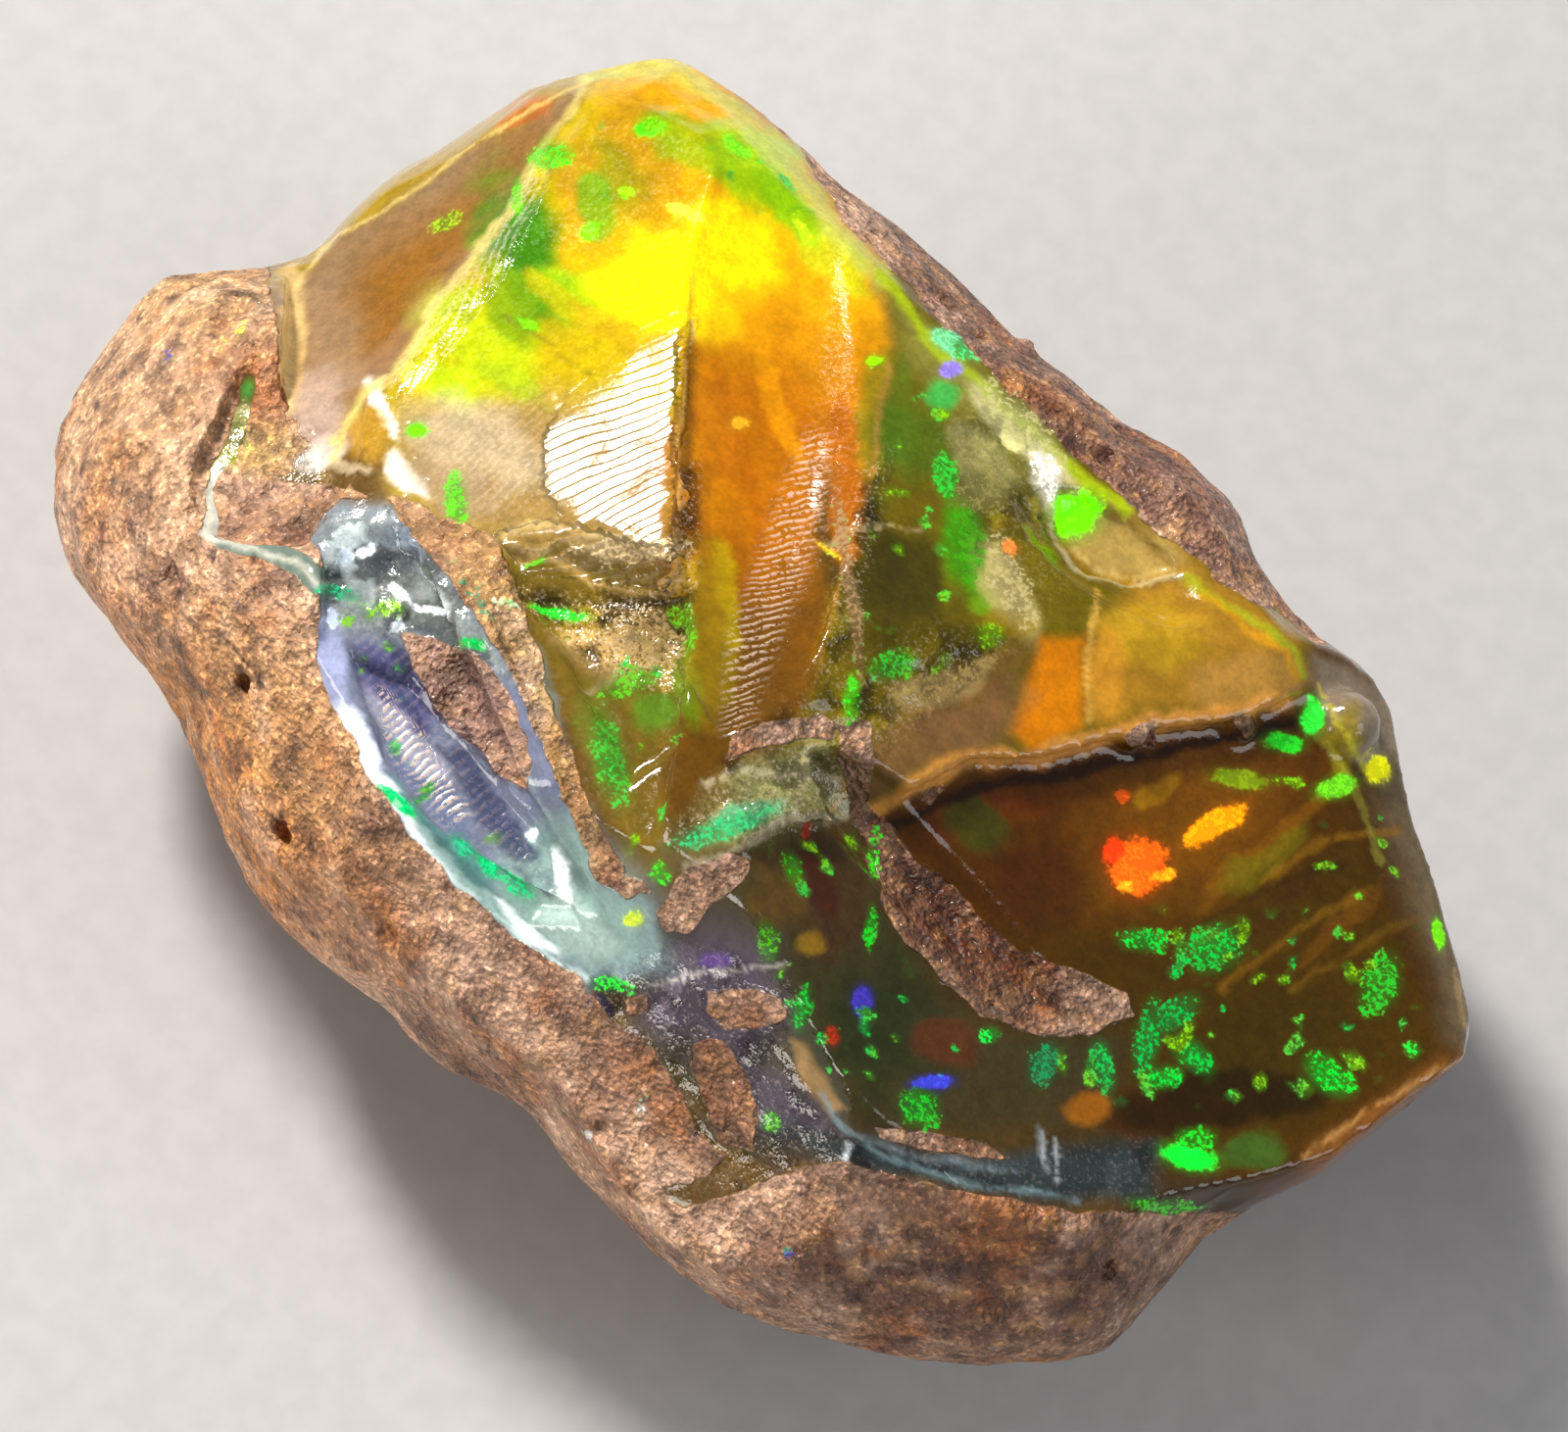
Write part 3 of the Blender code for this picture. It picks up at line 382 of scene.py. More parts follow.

# Crisp fire: middle, half length and width in pixels, turn, colour, solidness (0 breaks it up) and painted
# glow. The glint and glitter flecks are painted highlights.
FLECKS = {
    "block_a": ((1166, 960), (26, 12), 0, (10, 220, 60), 0.0, 0.27),
    "block_b": ((1240, 968), (30, 26), 20, (10, 200, 60), 0.0, 0.27),
    "block_c": ((1196, 1036), (30, 16), 30, (0, 190, 70), 0.0, 0.27),
    "block_d": ((1172, 1060), (13, 44), -8, (0, 190, 70), 0.0, 0.27),
    "block_l": ((1216, 1078), (26, 14), -34, (0, 200, 60), 0.0, 0.27),
    "block_m": ((1186, 1100), (20, 12), 10, (10, 220, 60), 0.4, 0.27),
    "block_e": ((1124, 1088), (12, 30), 12, (10, 200, 80), 0.0, 0.27),
    "block_f": ((1068, 1084), (18, 24), -30, (20, 150, 84), 0.0, 0.26),
    "block_g": ((1356, 1096), (30, 16), -38, (10, 230, 50), 0.2, 0.27),
    "block_h": ((1408, 1004), (20, 34), -20, (40, 190, 40), 0.0, 0.34),
    "block_i": ((1222, 1160), (20, 12), 0, (30, 220, 40), 0.0, 0.27),
    "block_j": ((1190, 1230), (40, 8), -4, (60, 180, 40), 0.0, 0.39),
    "block_k": ((1440, 1070), (8, 8), 0, (30, 230, 60), 0.0, 0.39),
    "middle_a": ((672, 890), (10, 12), 0, (50, 230, 20), 0.0, 0.39),
    "middle_b": ((808, 886), (9, 18), 8, (50, 200, 20), 0.0, 0.34),
    "middle_c": ((893, 868), (8, 28), -8, (40, 220, 20), 0.0, 0.38),
    "middle_d": ((889, 945), (7, 24), -8, (20, 210, 30), 0.0, 0.38),
    "middle_e": ((784, 960), (11, 24), 14, (80, 180, 20), 0.0, 0.26),
    "middle_f": ((818, 1030), (9, 26), -14, (10, 190, 50), 0.0, 0.34),
    "middle_g": ((940, 1132), (20, 24), 20, (30, 190, 40), 0.0, 0.39),
    "middle_h": ((1012, 1056), (10, 8), 0, (20, 230, 70), 0.0, 0.39),
    "middle_i": ((786, 1144), (9, 9), 0, (90, 190, 30), 0.0, 0.39),
    "middle_j": ((625, 1004), (22, 8), -6, (50, 230, 60), 0.0, 0.39),
    "valley_a": ((622, 770), (18, 56), 14, (60, 180, 50), 0.2, 0.3),
    "valley_b": ((700, 640), (10, 34), 0, (90, 170, 20), 0.4, 0.39),
    "valley_c": ((640, 690), (34, 14), 20, (90, 180, 30), 0.3, 0.39),
    "right_a": ((910, 680), (26, 16), 20, (50, 170, 40), 0.3, 0.39),
    "right_b": ((1010, 650), (16, 14), 0, (120, 180, 10), 0.5, 0.39),
    "right_c": ((870, 716), (10, 26), -10, (60, 220, 30), 0.4, 0.39),
    "right_d": ((980, 356), (22, 10), -30, (80, 230, 120), 0.6, 0.39),
    "crown_a": ((664, 130), (18, 10), 0, (110, 230, 10), 0.5, 0.39),
    "crown_b": ((562, 160), (26, 14), 10, (70, 220, 20), 0.4, 0.39),
    "crown_c": ((528, 200), (6, 20), 0, (110, 230, 20), 0.5, 0.39),
    "crown_d": ((455, 226), (18, 8), 20, (150, 190, 20), 0.4, 0.39),
    "blade_a": ((346, 604), (22, 9), -10, (40, 180, 120), 0.5, 0.3),
    "blade_b": ((400, 620), (20, 10), 0, (150, 220, 50), 0.5, 0.39),
    "blade_c": ((520, 900), (30, 10), -50, (20, 200, 120), 0.6, 0.39),
    "blade_d": ((470, 860), (20, 12), -60, (20, 190, 130), 0.6, 0.39),
    "ledge_a": ((740, 846), (60, 12), 18, (50, 190, 110), 0.3, 0.39),
    # Painted glitter: many small highlights
    "right_glitter_a": ((1040, 430), (60, 20), -42, (186, 182, 120), 0.0, 0.08),
    "right_glitter_b": ((1066, 484), (14, 34), 14, (246, 244, 230), 0.3, 0.6),
    "right_glitter_c": ((1030, 596), (22, 50), 20, (186, 172, 116), 0.0, 0.06),
    "right_glitter_d": ((1000, 500), (40, 26), 0, (136, 130, 70), 0.0, 0.04),
    "right_glitter_e": ((960, 700), (56, 16), 24, (160, 136, 80), 0.0, 0.04),
    "edge_glitter": ((868, 600), (7, 100), 8, (166, 134, 92), 0.0, 0.02),
    "shelf_glitter": ((640, 560), (60, 14), 0, (226, 200, 150), 0.0, 0.08),
    "foot_glitter": ((660, 640), (40, 30), 0, (176, 148, 100), 0.0, 0.04),
    # Painted glints on the rock
    "rock_glint_a": ((634, 1092), (9, 8), 0, (250, 240, 230), 1.0, 0.5),
    "rock_glint_b": ((652, 1130), (10, 10), 0, (250, 240, 236), 1.0, 0.6),
    "rock_glint_c": ((598, 1160), (8, 8), 0, (244, 232, 224), 1.0, 0.4),
    "rock_glint_d": ((628, 1074), (5, 12), 0, (240, 230, 226), 1.0, 0.4),
    "notch_chip_yellow": ((246, 334), (10, 9), 20, (236, 226, 60), 0.2, 0.3),
    "notch_chip_lime": ((250, 444), (9, 16), 20, (214, 226, 110), 0.3, 0.22),
    "violet_a": ((168, 360), (8, 6), 0, (96, 60, 170), 0.0, 0.39),
    "violet_b": ((252, 620), (9, 7), 0, (90, 60, 160), 0.0, 0.39),
    "violet_c": ((802, 1280), (14, 6), 0, (70, 60, 170), 0.0, 0.39),
    "face_green_crest": ((562, 160), (20, 14), 20, (70, 190, 20), 0.5, 0.28),
    "face_green_top": ((660, 132), (16, 10), 0, (90, 220, 10), 1.0, 0.33),
    "right_green_bits": ((986, 556), (22, 44), 12, (60, 150, 10), 0.3, 0.08),
    "right_green_small": ((966, 488), (14, 26), 10, (40, 190, 50), 0.5, 0.33),
    "right_lime_spot": ((1100, 522), (32, 27), 15, (110, 250, 0), 1.0, 1.1),
    "right_orange_spot": ((1031, 560), (11, 9), 0, (250, 140, 60), 1.0, 0.44),
    "right_violet": ((971, 376), (13, 9), 20, (150, 130, 230), 1.0, 0.39),
    "right_teal_top": ((970, 350), (26, 12), -30, (120, 220, 150), 1.0, 0.28),
    "channel_green": ((892, 369), (10, 7), 0, (150, 255, 0), 1.0, 0.55),
    "block_fire": ((1160, 884), (34, 36), 10, (255, 92, 8), 1.0, 1.3),
    "block_fire_tail": ((1240, 842), (44, 17), 32, (255, 150, 0), 1.0, 1.1),
    "block_red_dot": ((1146, 814), (10, 8), 0, (230, 90, 10), 1.0, 0.33),
    "block_green_right": ((1362, 802), (28, 14), 20, (110, 220, 30), 1.0, 0.39),
    "block_green_chip": ((1310, 757), (24, 12), -10, (40, 220, 40), 1.0, 0.44),
    "block_green_corner": ((1339, 730), (15, 24), 10, (50, 240, 60), 1.0, 0.5),
    "block_yellow_rim": ((1406, 786), (16, 18), 0, (240, 240, 10), 1.0, 0.61),
    "block_green_bright": ((1214, 1180), (34, 15), -15, (10, 240, 50), 1.0, 1.0),
    "block_green_rim": ((1467, 952), (7, 20), 8, (120, 240, 20), 1.0, 0.5),
    "middle_blue": ((880, 1020), (13, 18), 0, (70, 60, 190), 1.0, 0.19),
    "middle_blue_low": ((950, 1106), (24, 9), 6, (70, 76, 236), 1.0, 0.33),
    "middle_red": ((824, 848), (8, 10), 0, (150, 50, 20), 1.0, 0.11),
    "middle_red_dot": ((850, 1056), (8, 12), 0, (170, 50, 20), 1.0, 0.17),
    "blade_teal_line": ((404, 818), (30, 9), -40, (10, 200, 110), 1.0, 0.39),
    "blade_teal_low": ((486, 872), (36, 9), -55, (20, 200, 120), 1.0, 0.33),
    "blade_lime": ((645, 937), (14, 9), 0, (210, 240, 60), 1.0, 0.44),
    "blade_green_chip": ((481, 655), (18, 8), 4, (20, 210, 90), 1.0, 0.39),
    "rim_green_left": ((425, 440), (13, 10), 0, (110, 240, 10), 1.0, 0.5),
    "face_green_flash": ((467, 512), (13, 30), 4, (80, 210, 20), 0.5, 0.55),
    "step_green": ((541, 566), (16, 5), 4, (120, 220, 40), 1.0, 0.33),
    "shelf_green": ((570, 617), (34, 6), -6, (50, 230, 50), 1.0, 0.44),
    "block_green_high": ((1266, 794), (34, 12), -8, (140, 170, 16), 1.0, 0.22),
    "block_fire_hot_a": ((1150, 902), (14, 10), 0, (255, 160, 20), 1.0, 1.4),
    "block_fire_hot_b": ((1186, 894), (14, 9), 0, (255, 150, 10), 1.0, 1.3),
    "block_fire_red": ((1136, 868), (16, 18), 0, (236, 60, 6), 1.0, 0.9),
    "face_spark_a": ((604, 236), (14, 8), 40, (130, 230, 10), 1.0, 0.44),
    "face_spark_b": ((640, 196), (10, 6), 0, (150, 220, 0), 1.0, 0.39),
    "face_spark_c": ((540, 330), (16, 6), -30, (130, 220, 10), 1.0, 0.39),
    "face_spark_d": ((700, 214), (24, 8), -20, (255, 240, 60), 1.0, 0.55),
    "face_spark_e": ((752, 150), (20, 8), -40, (120, 220, 20), 1.0, 0.39),
    "face_spark_f": ((822, 236), (22, 8), -50, (190, 230, 20), 1.0, 0.39),
    "channel_spark_a": ((846, 560), (22, 3), -30, (250, 190, 30), 1.0, 0.39),
    "channel_spark_b": ((756, 432), (14, 9), 0, (250, 180, 30), 1.0, 0.33),
    "blade_teal_edge": ((484, 606), (44, 6), -52, (40, 150, 110), 0.3, 0.15),
    # Painted glints on the blade and in the valley
    "blade_glint_g": ((404, 640), (12, 6), 30, (220, 228, 236), 1.0, 1.0),
    "blade_glint_h": ((352, 566), (9, 12), 0, (190, 204, 220), 1.0, 0.6),
    "blade_glint_a": ((372, 560), (14, 8), 30, (226, 234, 240), 1.0, 1.0),
    "blade_glint_b": ((440, 622), (26, 7), -10, (236, 240, 244), 1.0, 1.0),
    "blade_glint_c": ((410, 606), (20, 7), -40, (232, 238, 242), 1.0, 1.0),
    "blade_glint_d": ((338, 632), (8, 14), 10, (214, 226, 246), 1.0, 0.6),
    "blade_glint_e": ((568, 900), (8, 34), 14, (236, 246, 244), 1.0, 1.0),
    "blade_glint_f": ((540, 846), (9, 8), 0, (216, 232, 236), 1.0, 1.0),
    "valley_glint": ((520, 618), (20, 4), -24, (220, 240, 200), 1.0, 0.6),
}

# Where tiny specks of fire lie scattered: outline, how many and painted glow
SPECKS = {
    "block": (
        ((1180, 930), (1440, 930), (1470, 1080), (1300, 1130), (1160, 1130), (1030, 1096), (1030, 1066),
         (1130, 1066), (1176, 1030)),
        1.0, 0.35,
    ),
    "block_right": (((1280, 740), (1400, 780), (1450, 930), (1380, 960), (1300, 860)), 0.5, 0.3),
    "middle": (
        ((760, 860), (880, 850), (900, 960), (980, 1060), (960, 1140), (820, 1100), (780, 980)),
        0.8, 0.3,
    ),
    "valley": (((540, 600), (600, 640), (690, 640), (700, 860), (640, 880), (590, 760)), 0.7, 0.25),
    "right": (((910, 400), (990, 400), (1010, 560), (960, 700), (860, 730), (880, 600)), 0.5, 0.25),
    "crown": (((540, 140), (700, 90), (800, 150), (860, 240), (700, 200), (560, 200)), 0.5, 0.35),
    "blade": (((340, 600), (400, 620), (420, 720), (540, 880), (500, 900), (380, 780)), 0.4, 0.2),
}

# Broad tints of the host rock, among them a painted highlight, painted glow along the lower left edge, and
# painted shade on the bottom, in a crevice and in a hole: middle, half length and width in pixels, turn,
# colour, strength
ROCK_TINTS = {
    "ridge_gold": ((520, 620), (60, 220), 26, (214, 164, 100), 0.85),
    # Painted glow of light through the rind's thin lower left edge
    "lower_left_glow": ((205, 800), (210, 30), -62, (218, 130, 40), 0.9),
    "lobe_gold": ((210, 300), (90, 60), 0, (218, 172, 118), 0.7),
    # Painted shade in a crevice and a hole of the lobe
    "lobe_crevice_shade": ((238, 400), (12, 44), -22, (104, 64, 50), 0.9),
    "lobe_hole_shadow": ((246, 301), (22, 7), -16, (26, 18, 16), 1.0),
    "lower_left_gold": ((270, 740), (110, 160), 20, (214, 156, 92), 0.6),
    # Pinkish rind with a painted highlight on the upper left
    "left_pink_highlight": ((130, 420), (110, 160), 0, (216, 168, 122), 0.6),
    # More painted glow through the rind's lower left edge
    "left_orange_glow": ((215, 800), (250, 60), -60, (196, 122, 44), 0.75),
    "notch_gold": ((266, 458), (40, 34), 0, (206, 166, 96), 0.9),
    "shelf_orange": ((272, 392), (40, 50), 0, (180, 108, 50), 0.7),
    "shelf_gold": ((400, 520), (70, 40), -20, (176, 124, 52), 0.6),
    "lower_left_orange": ((340, 900), (120, 50), -45, (176, 112, 56), 0.6),
    "ridge_copper": ((580, 760), (40, 160), 20, (212, 178, 118), 0.8),
    "lens_mauve": ((480, 720), (60, 90), 30, (192, 148, 136), 0.9),
    "vein_brown": ((1000, 950), (180, 60), -38, (106, 58, 36), 1.0),
    # Painted shade on the bottom, which faces away from the lamps
    "bottom_painted_shade": ((1020, 1310), (280, 90), 0, (84, 48, 38), 0.85),
    "back_band": ((1120, 440), (320, 60), -44, (110, 68, 58), 0.85),
    "island_copper": ((740, 1090), (70, 110), 0, (150, 98, 66), 0.8),
}

# Pale broken edges, ridges and rims, partly painted highlights and painted glow along them, and dark lines,
# among them painted shadows under the ledge and shelf: the line, half width in pixels, colour, strength,
# painted glow
EDGE_LINES = {
    # Painted light over the shaded side wall at the left face's edge
    "left_side_painted_light": (((302, 284), (298, 340), (294, 400), (286, 430)), 16, (214, 182, 122), 1.0, 0.26),
    "teal_streak_a": (((866, 1170), (862, 1190), (868, 1212)), 5, (206, 216, 222), 0.8, 0.35),
    "teal_streak_b": (((1060, 1156), (1063, 1176), (1068, 1196)), 5, (186, 196, 204), 0.6, 0.25),
    "teal_streak_d": (((1074, 1166), (1078, 1186), (1080, 1206)), 4, (186, 196, 204), 0.6, 0.25),
    "teal_streak_c": (((842, 1130), (866, 1156), (930, 1180), (1040, 1196)), 5, (120, 136, 144), 0.6, 0.08),
    "lump_streak_a": (((1346, 700), (1370, 746), (1400, 800)), 4, (196, 186, 40), 0.7, 0.2),
    "lump_streak_b": (((1340, 716), (1358, 760), (1380, 800)), 4, (160, 150, 30), 0.6, 0.1),
    "face_hairline": (((516, 322), (560, 350), (592, 372), (610, 400)), 3, (120, 110, 20), 0.5, 0.1),
    "face_hairline_pale": (((560, 400), (580, 430), (590, 470)), 2, (240, 230, 170), 0.6, 0.4),
    "shelf_edge": (
        ((512, 548), (540, 536), (590, 540), (640, 552), (696, 560)),
        4, (226, 200, 130), 0.6, 0.25,
    ),
    "shelf_edge_low": (((512, 560), (560, 566), (620, 580), (696, 590)), 4, (190, 160, 90), 0.6, 0.15),
    "left_facet_line": (((340, 470), (352, 430), (378, 396), (392, 384)), 4, (230, 208, 130), 0.8, 0.2),
    "right_curve": (((842, 556), (870, 540), (905, 536), (940, 542)), 3, (196, 176, 120), 0.6, 0.15),
    "chip_arc_outer": (
        ((1070, 530), (1086, 570), (1120, 592), (1170, 600), (1206, 590)),
        3, (120, 92, 40), 0.6, 0.05,
    ),
    "chip_arc_inner": (((1100, 556), (1124, 576), (1160, 584), (1196, 578)), 3, (214, 190, 120), 0.5, 0.2),
    "milk_facet": (((1120, 600), (1112, 660), (1110, 740)), 4, (240, 190, 90), 0.5, 0.3),
    "block_streak_line_a": (((1250, 1010), (1320, 950), (1400, 905)), 6, (150, 104, 20), 0.55, 0.08),
    "block_streak_line_b": (((1290, 900), (1350, 858), (1424, 846)), 6, (160, 112, 18), 0.55, 0.08),
    "block_streak_line_c": (((1230, 940), (1300, 900), (1370, 880)), 6, (56, 38, 8), 0.6, 0.0),
    "block_streak_line_d": (((1320, 1010), (1390, 964), (1446, 936)), 6, (132, 96, 20), 0.5, 0.06),
    "block_streak_line_e": (((1340, 740), (1380, 800), (1410, 880)), 5, (170, 170, 60), 0.5, 0.08),
    "block_streak_line_f": (((1350, 800), (1380, 850), (1400, 920)), 5, (70, 48, 10), 0.6, 0.0),
    "blade_axis": (((400, 690), (450, 760), (500, 840), (556, 920)), 4, (54, 58, 92), 0.6, 0.0),
    "blade_right_line": (((520, 760), (556, 820), (580, 880), (592, 930)), 4, (176, 196, 196), 0.5, 0.05),
    "ledge_line_a": (((716, 800), (760, 786), (820, 790), (866, 800)), 4, (196, 186, 150), 0.6, 0.1),
    "ledge_line_b": (((826, 760), (818, 800), (806, 838)), 4, (150, 140, 110), 0.6, 0.05),
    "ledge_line_c": (((862, 800), (852, 820), (846, 838)), 3, (200, 150, 90), 0.6, 0.05),
    "valley_line": (((600, 700), (640, 676), (668, 664)), 3, (200, 180, 140), 0.5, 0.05),
    "shelf_crumbs": (
        ((520, 552), (560, 560), (600, 590), (650, 598), (694, 600)),
        5, (206, 168, 96), 0.7, 0.08,
    ),
    "middle_line": (((806, 850), (820, 900), (850, 960)), 3, (60, 40, 30), 0.6, 0.0),
    "vein_highlight": (((884, 880), (920, 920), (970, 950), (1010, 990)), 4, (196, 150, 120), 0.4, 0.0),
    "tip_line": (((1330, 1180), (1400, 1130), (1490, 1080)), 4, (214, 160, 90), 0.6, 0.1),
    "tip_upper_line": (((1484, 990), (1496, 1040), (1502, 1074)), 4, (190, 160, 110), 0.5, 0.1),
    "strand_white": (((664, 1004), (720, 994), (770, 984), (800, 986)), 3, (206, 196, 190), 0.7, 0.2),
    "teal_milk": (
        ((838, 1118), (860, 1150), (900, 1180), (980, 1206), (1100, 1222)),
        4, (130, 160, 166), 0.6, 0.1,
    ),
    "lens_edge": (((410, 644), (420, 690), (470, 750), (516, 794), (540, 808)), 3, (60, 40, 40), 0.6, 0.0),
    "left_ridge": (
        ((600, 84), (548, 160), (522, 212), (478, 268), (440, 316), (404, 384), (376, 398), (340, 450)),
        7, (214, 196, 110), 0.75, 0.15,
    ),
    "left_crest_line": (
        ((604, 80), (540, 112), (480, 150), (420, 196), (345, 240), (300, 290)),
        3, (214, 190, 110), 0.7, 0.25,
    ),
    "crown_rim": (
        ((600, 74), (640, 68), (690, 70), (738, 104), (796, 160), (850, 226), (900, 286)),
        15, (190, 200, 90), 0.7, 0.1,
    ),
    "right_rim": (
        ((900, 282), (950, 346), (1004, 396), (1060, 444), (1110, 490), (1150, 520)),
        8, (166, 190, 10), 0.85, 0.3,
    ),
    "right_rim_low": (
        ((1210, 588), (1244, 616), (1290, 640), (1322, 664), (1330, 690)),
        7, (160, 166, 24), 0.85, 0.22,
    ),
    "right_rim_orange": (((1226, 604), (1270, 640), (1310, 662), (1322, 690)), 5, (200, 140, 10), 0.7, 0.3),
    "chip_rim": (
        ((1082, 490), (1072, 540), (1096, 580), (1150, 596), (1200, 588)),
        4, (206, 196, 150), 0.6, 0.2,
    ),
    "centre_ridge": (((706, 330), (696, 420), (692, 480), (690, 560)), 3, (236, 196, 110), 0.7, 0.3),
    "right_edge": (
        ((906, 372), (892, 470), (872, 540), (852, 610), (836, 690)),
        4, (176, 126, 60), 0.5, 0.15,
    ),
    "ledge_edge": (
        ((700, 886), (756, 866), (800, 838), (840, 836), (870, 832)),
        5, (170, 160, 130), 0.8, 0.2,
    ),
    "ledge_shadow": (
        ((890, 852), (940, 828), (1010, 800), (1100, 786), (1200, 762), (1320, 736)),
        9, (40, 22, 8), 0.9, 0.0,
    ),
    "shelf_shadow": (((512, 600), (560, 606), (640, 606), (698, 606)), 7, (44, 40, 12), 0.7, 0.0),
    "channel_left_edge": (((700, 480), (688, 540), (690, 600), (672, 700)), 4, (214, 160, 80), 0.5, 0.1),
    "ledge_edge_right": (
        ((880, 834), (930, 806), (980, 776), (1060, 772), (1130, 752), (1180, 738), (1240, 728),
         (1310, 716)),
        12, (216, 150, 66), 0.9, 0.12,
    ),
    "blade_milk_edge": (
        ((352, 742), (404, 838), (480, 914), (560, 978), (600, 1000)),
        3, (210, 226, 226), 0.7, 0.35,
    ),
    "chip_milk_edge": (
        ((228, 470), (212, 520), (210, 548), (240, 556), (300, 576), (328, 600)),
        5, (206, 206, 190), 0.8, 0.3,
    ),
}

# Steps where one fracture lies lower than its neighbour: outline and depth in mm
STEPS = {
    "under_main_face": (
        ((512, 556), (560, 548), (600, 566), (640, 574), (700, 584), (704, 640), (690, 760), (640, 800),
         (600, 720), (560, 640), (520, 606)),
        0.55,
    ),
    "second_step": (((540, 592), (620, 596), (700, 606), (700, 640), (560, 640)), 0.3),
    "blade_trough": (
        ((352, 660), (420, 690), (500, 780), (560, 860), (590, 940), (540, 940), (460, 860), (390, 770)),
        0.45,
    ),
    "chip_bowl": (
        ((1076, 500), (1100, 496), (1160, 530), (1208, 584), (1160, 598), (1106, 584), (1080, 545)),
        0.35,
    ),
}

# Fine grooves: outline, softness of its edge in mm, turn in degrees, spacing and depth in mm, paleness of
# their crests, partly painted highlight
GROOVES = {
    "main_face": (
        ((552, 440), (600, 400), (660, 345), (704, 325), (700, 430), (692, 560), (640, 556), (590, 530),
         (552, 500)),
        0.35, 26.0, 0.27, 0.052, 0.05,
    ),
    "main_face_right": (
        ((676, 350), (704, 325), (700, 430), (690, 500), (664, 470)),
        0.2, 12.0, 0.2, 0.04, 0.1,
    ),
    "main_face_low": (
        ((512, 545), (560, 535), (690, 560), (696, 600), (600, 580), (540, 572)),
        0.25, 8.0, 0.3, 0.06, 0.2,
    ),
    "main_face_soft": (
        ((430, 420), (560, 400), (560, 520), (500, 530), (440, 470)),
        0.6, 40.0, 0.24, 0.01, 0.16,
    ),
    "left_ridge": (
        ((400, 400), (500, 250), (545, 170), (552, 190), (510, 280), (420, 400)),
        0.2, 62.0, 0.24, 0.02, 0.3,
    ),
    "channel": (
        ((826, 440), (848, 444), (838, 530), (820, 590), (796, 650), (776, 700), (764, 750), (738, 744),
         (744, 660), (770, 580), (800, 500)),
        0.3, 16.0, 0.2, 0.022, 0.6,
    ),
    "blade": (
        ((366, 676), (398, 684), (440, 736), (482, 806), (488, 840), (456, 828), (412, 776), (380, 724)),
        0.35, 34.0, 0.24, 0.014, 0.85,
    ),
    "blade_side": (
        ((352, 640), (400, 640), (450, 720), (520, 830), (560, 900), (500, 860), (430, 790), (370, 720)),
        0.5, 40.0, 0.3, 0.005, 0.1,
    ),
}

# Rough broken spots on the opal: outline, softness of its edge in mm, size of the facets, which are painted
# lighter or darker as light and shade, and painted glitter
CHIPPED = {
    "notch": (((215, 425), (300, 425), (350, 500), (225, 495)), 0.3, 0.35, 0.25),
    "under_shelf": (
        ((508, 584), (560, 598), (696, 600), (700, 640), (660, 700), (604, 672), (540, 622)),
        0.3, 0.9, 0.6,
    ),
    "blade_head": (
        ((330, 520), (400, 515), (432, 560), (500, 640), (520, 690), (440, 650), (330, 640)),
        0.3, 1.0, 0.12,
    ),
    "channel_foot": (((640, 590), (700, 600), (690, 700), (560, 640), (540, 600)), 0.4, 0.6, 0.4),
    "right_shoulder": (
        ((980, 400), (1090, 480), (1080, 600), (1040, 640), (1000, 560), (960, 470)),
        0.7, 0.45, 0.12,
    ),
    "right_foot": (
        ((780, 740), (850, 690), (950, 640), (1030, 660), (960, 720), (880, 780), (840, 800)),
        0.6, 0.6, 0.2,
    ),
    "ledge": (((690, 850), (740, 780), (850, 745), (870, 830), (760, 860)), 0.4, 0.7, 0.35),
    "lower_left": (
        ((600, 1000), (700, 960), (810, 1010), (800, 1080), (860, 1180), (760, 1220), (640, 1190)),
        0.4, 0.5, 0.2,
    ),
    "teal_band": (((830, 1150), (1000, 1180), (1180, 1160), (1190, 1235), (880, 1205)), 0.3, 0.35, 0.08),
    "edge_of_channel": (((690, 480), (712, 470), (712, 600), (690, 640), (680, 580)), 0.2, 0.7, 0.5),
    "right_edge": (
        ((880, 480), (910, 460), (880, 600), (856, 690), (830, 700), (850, 600)),
        0.3, 0.6, 0.32,
    ),
    "face_edge": (
        ((400, 380), (520, 214), (556, 150), (566, 168), (520, 270), (440, 372), (410, 420)),
        0.25, 0.22, 0.2,
    ),
}

# Host rock that stands out a little more: middle, half length and width in pixels, turn, height in mm
SWELLS = {
    "back_band": ((1214, 504), (96, 46), -46, 0.4),
    "back_band_high": ((1050, 350), (16, 12), -44, 0.35),
}

# Where the noise starts: any whole number but 0, which stands for the clock
NOISE_SEED = 7

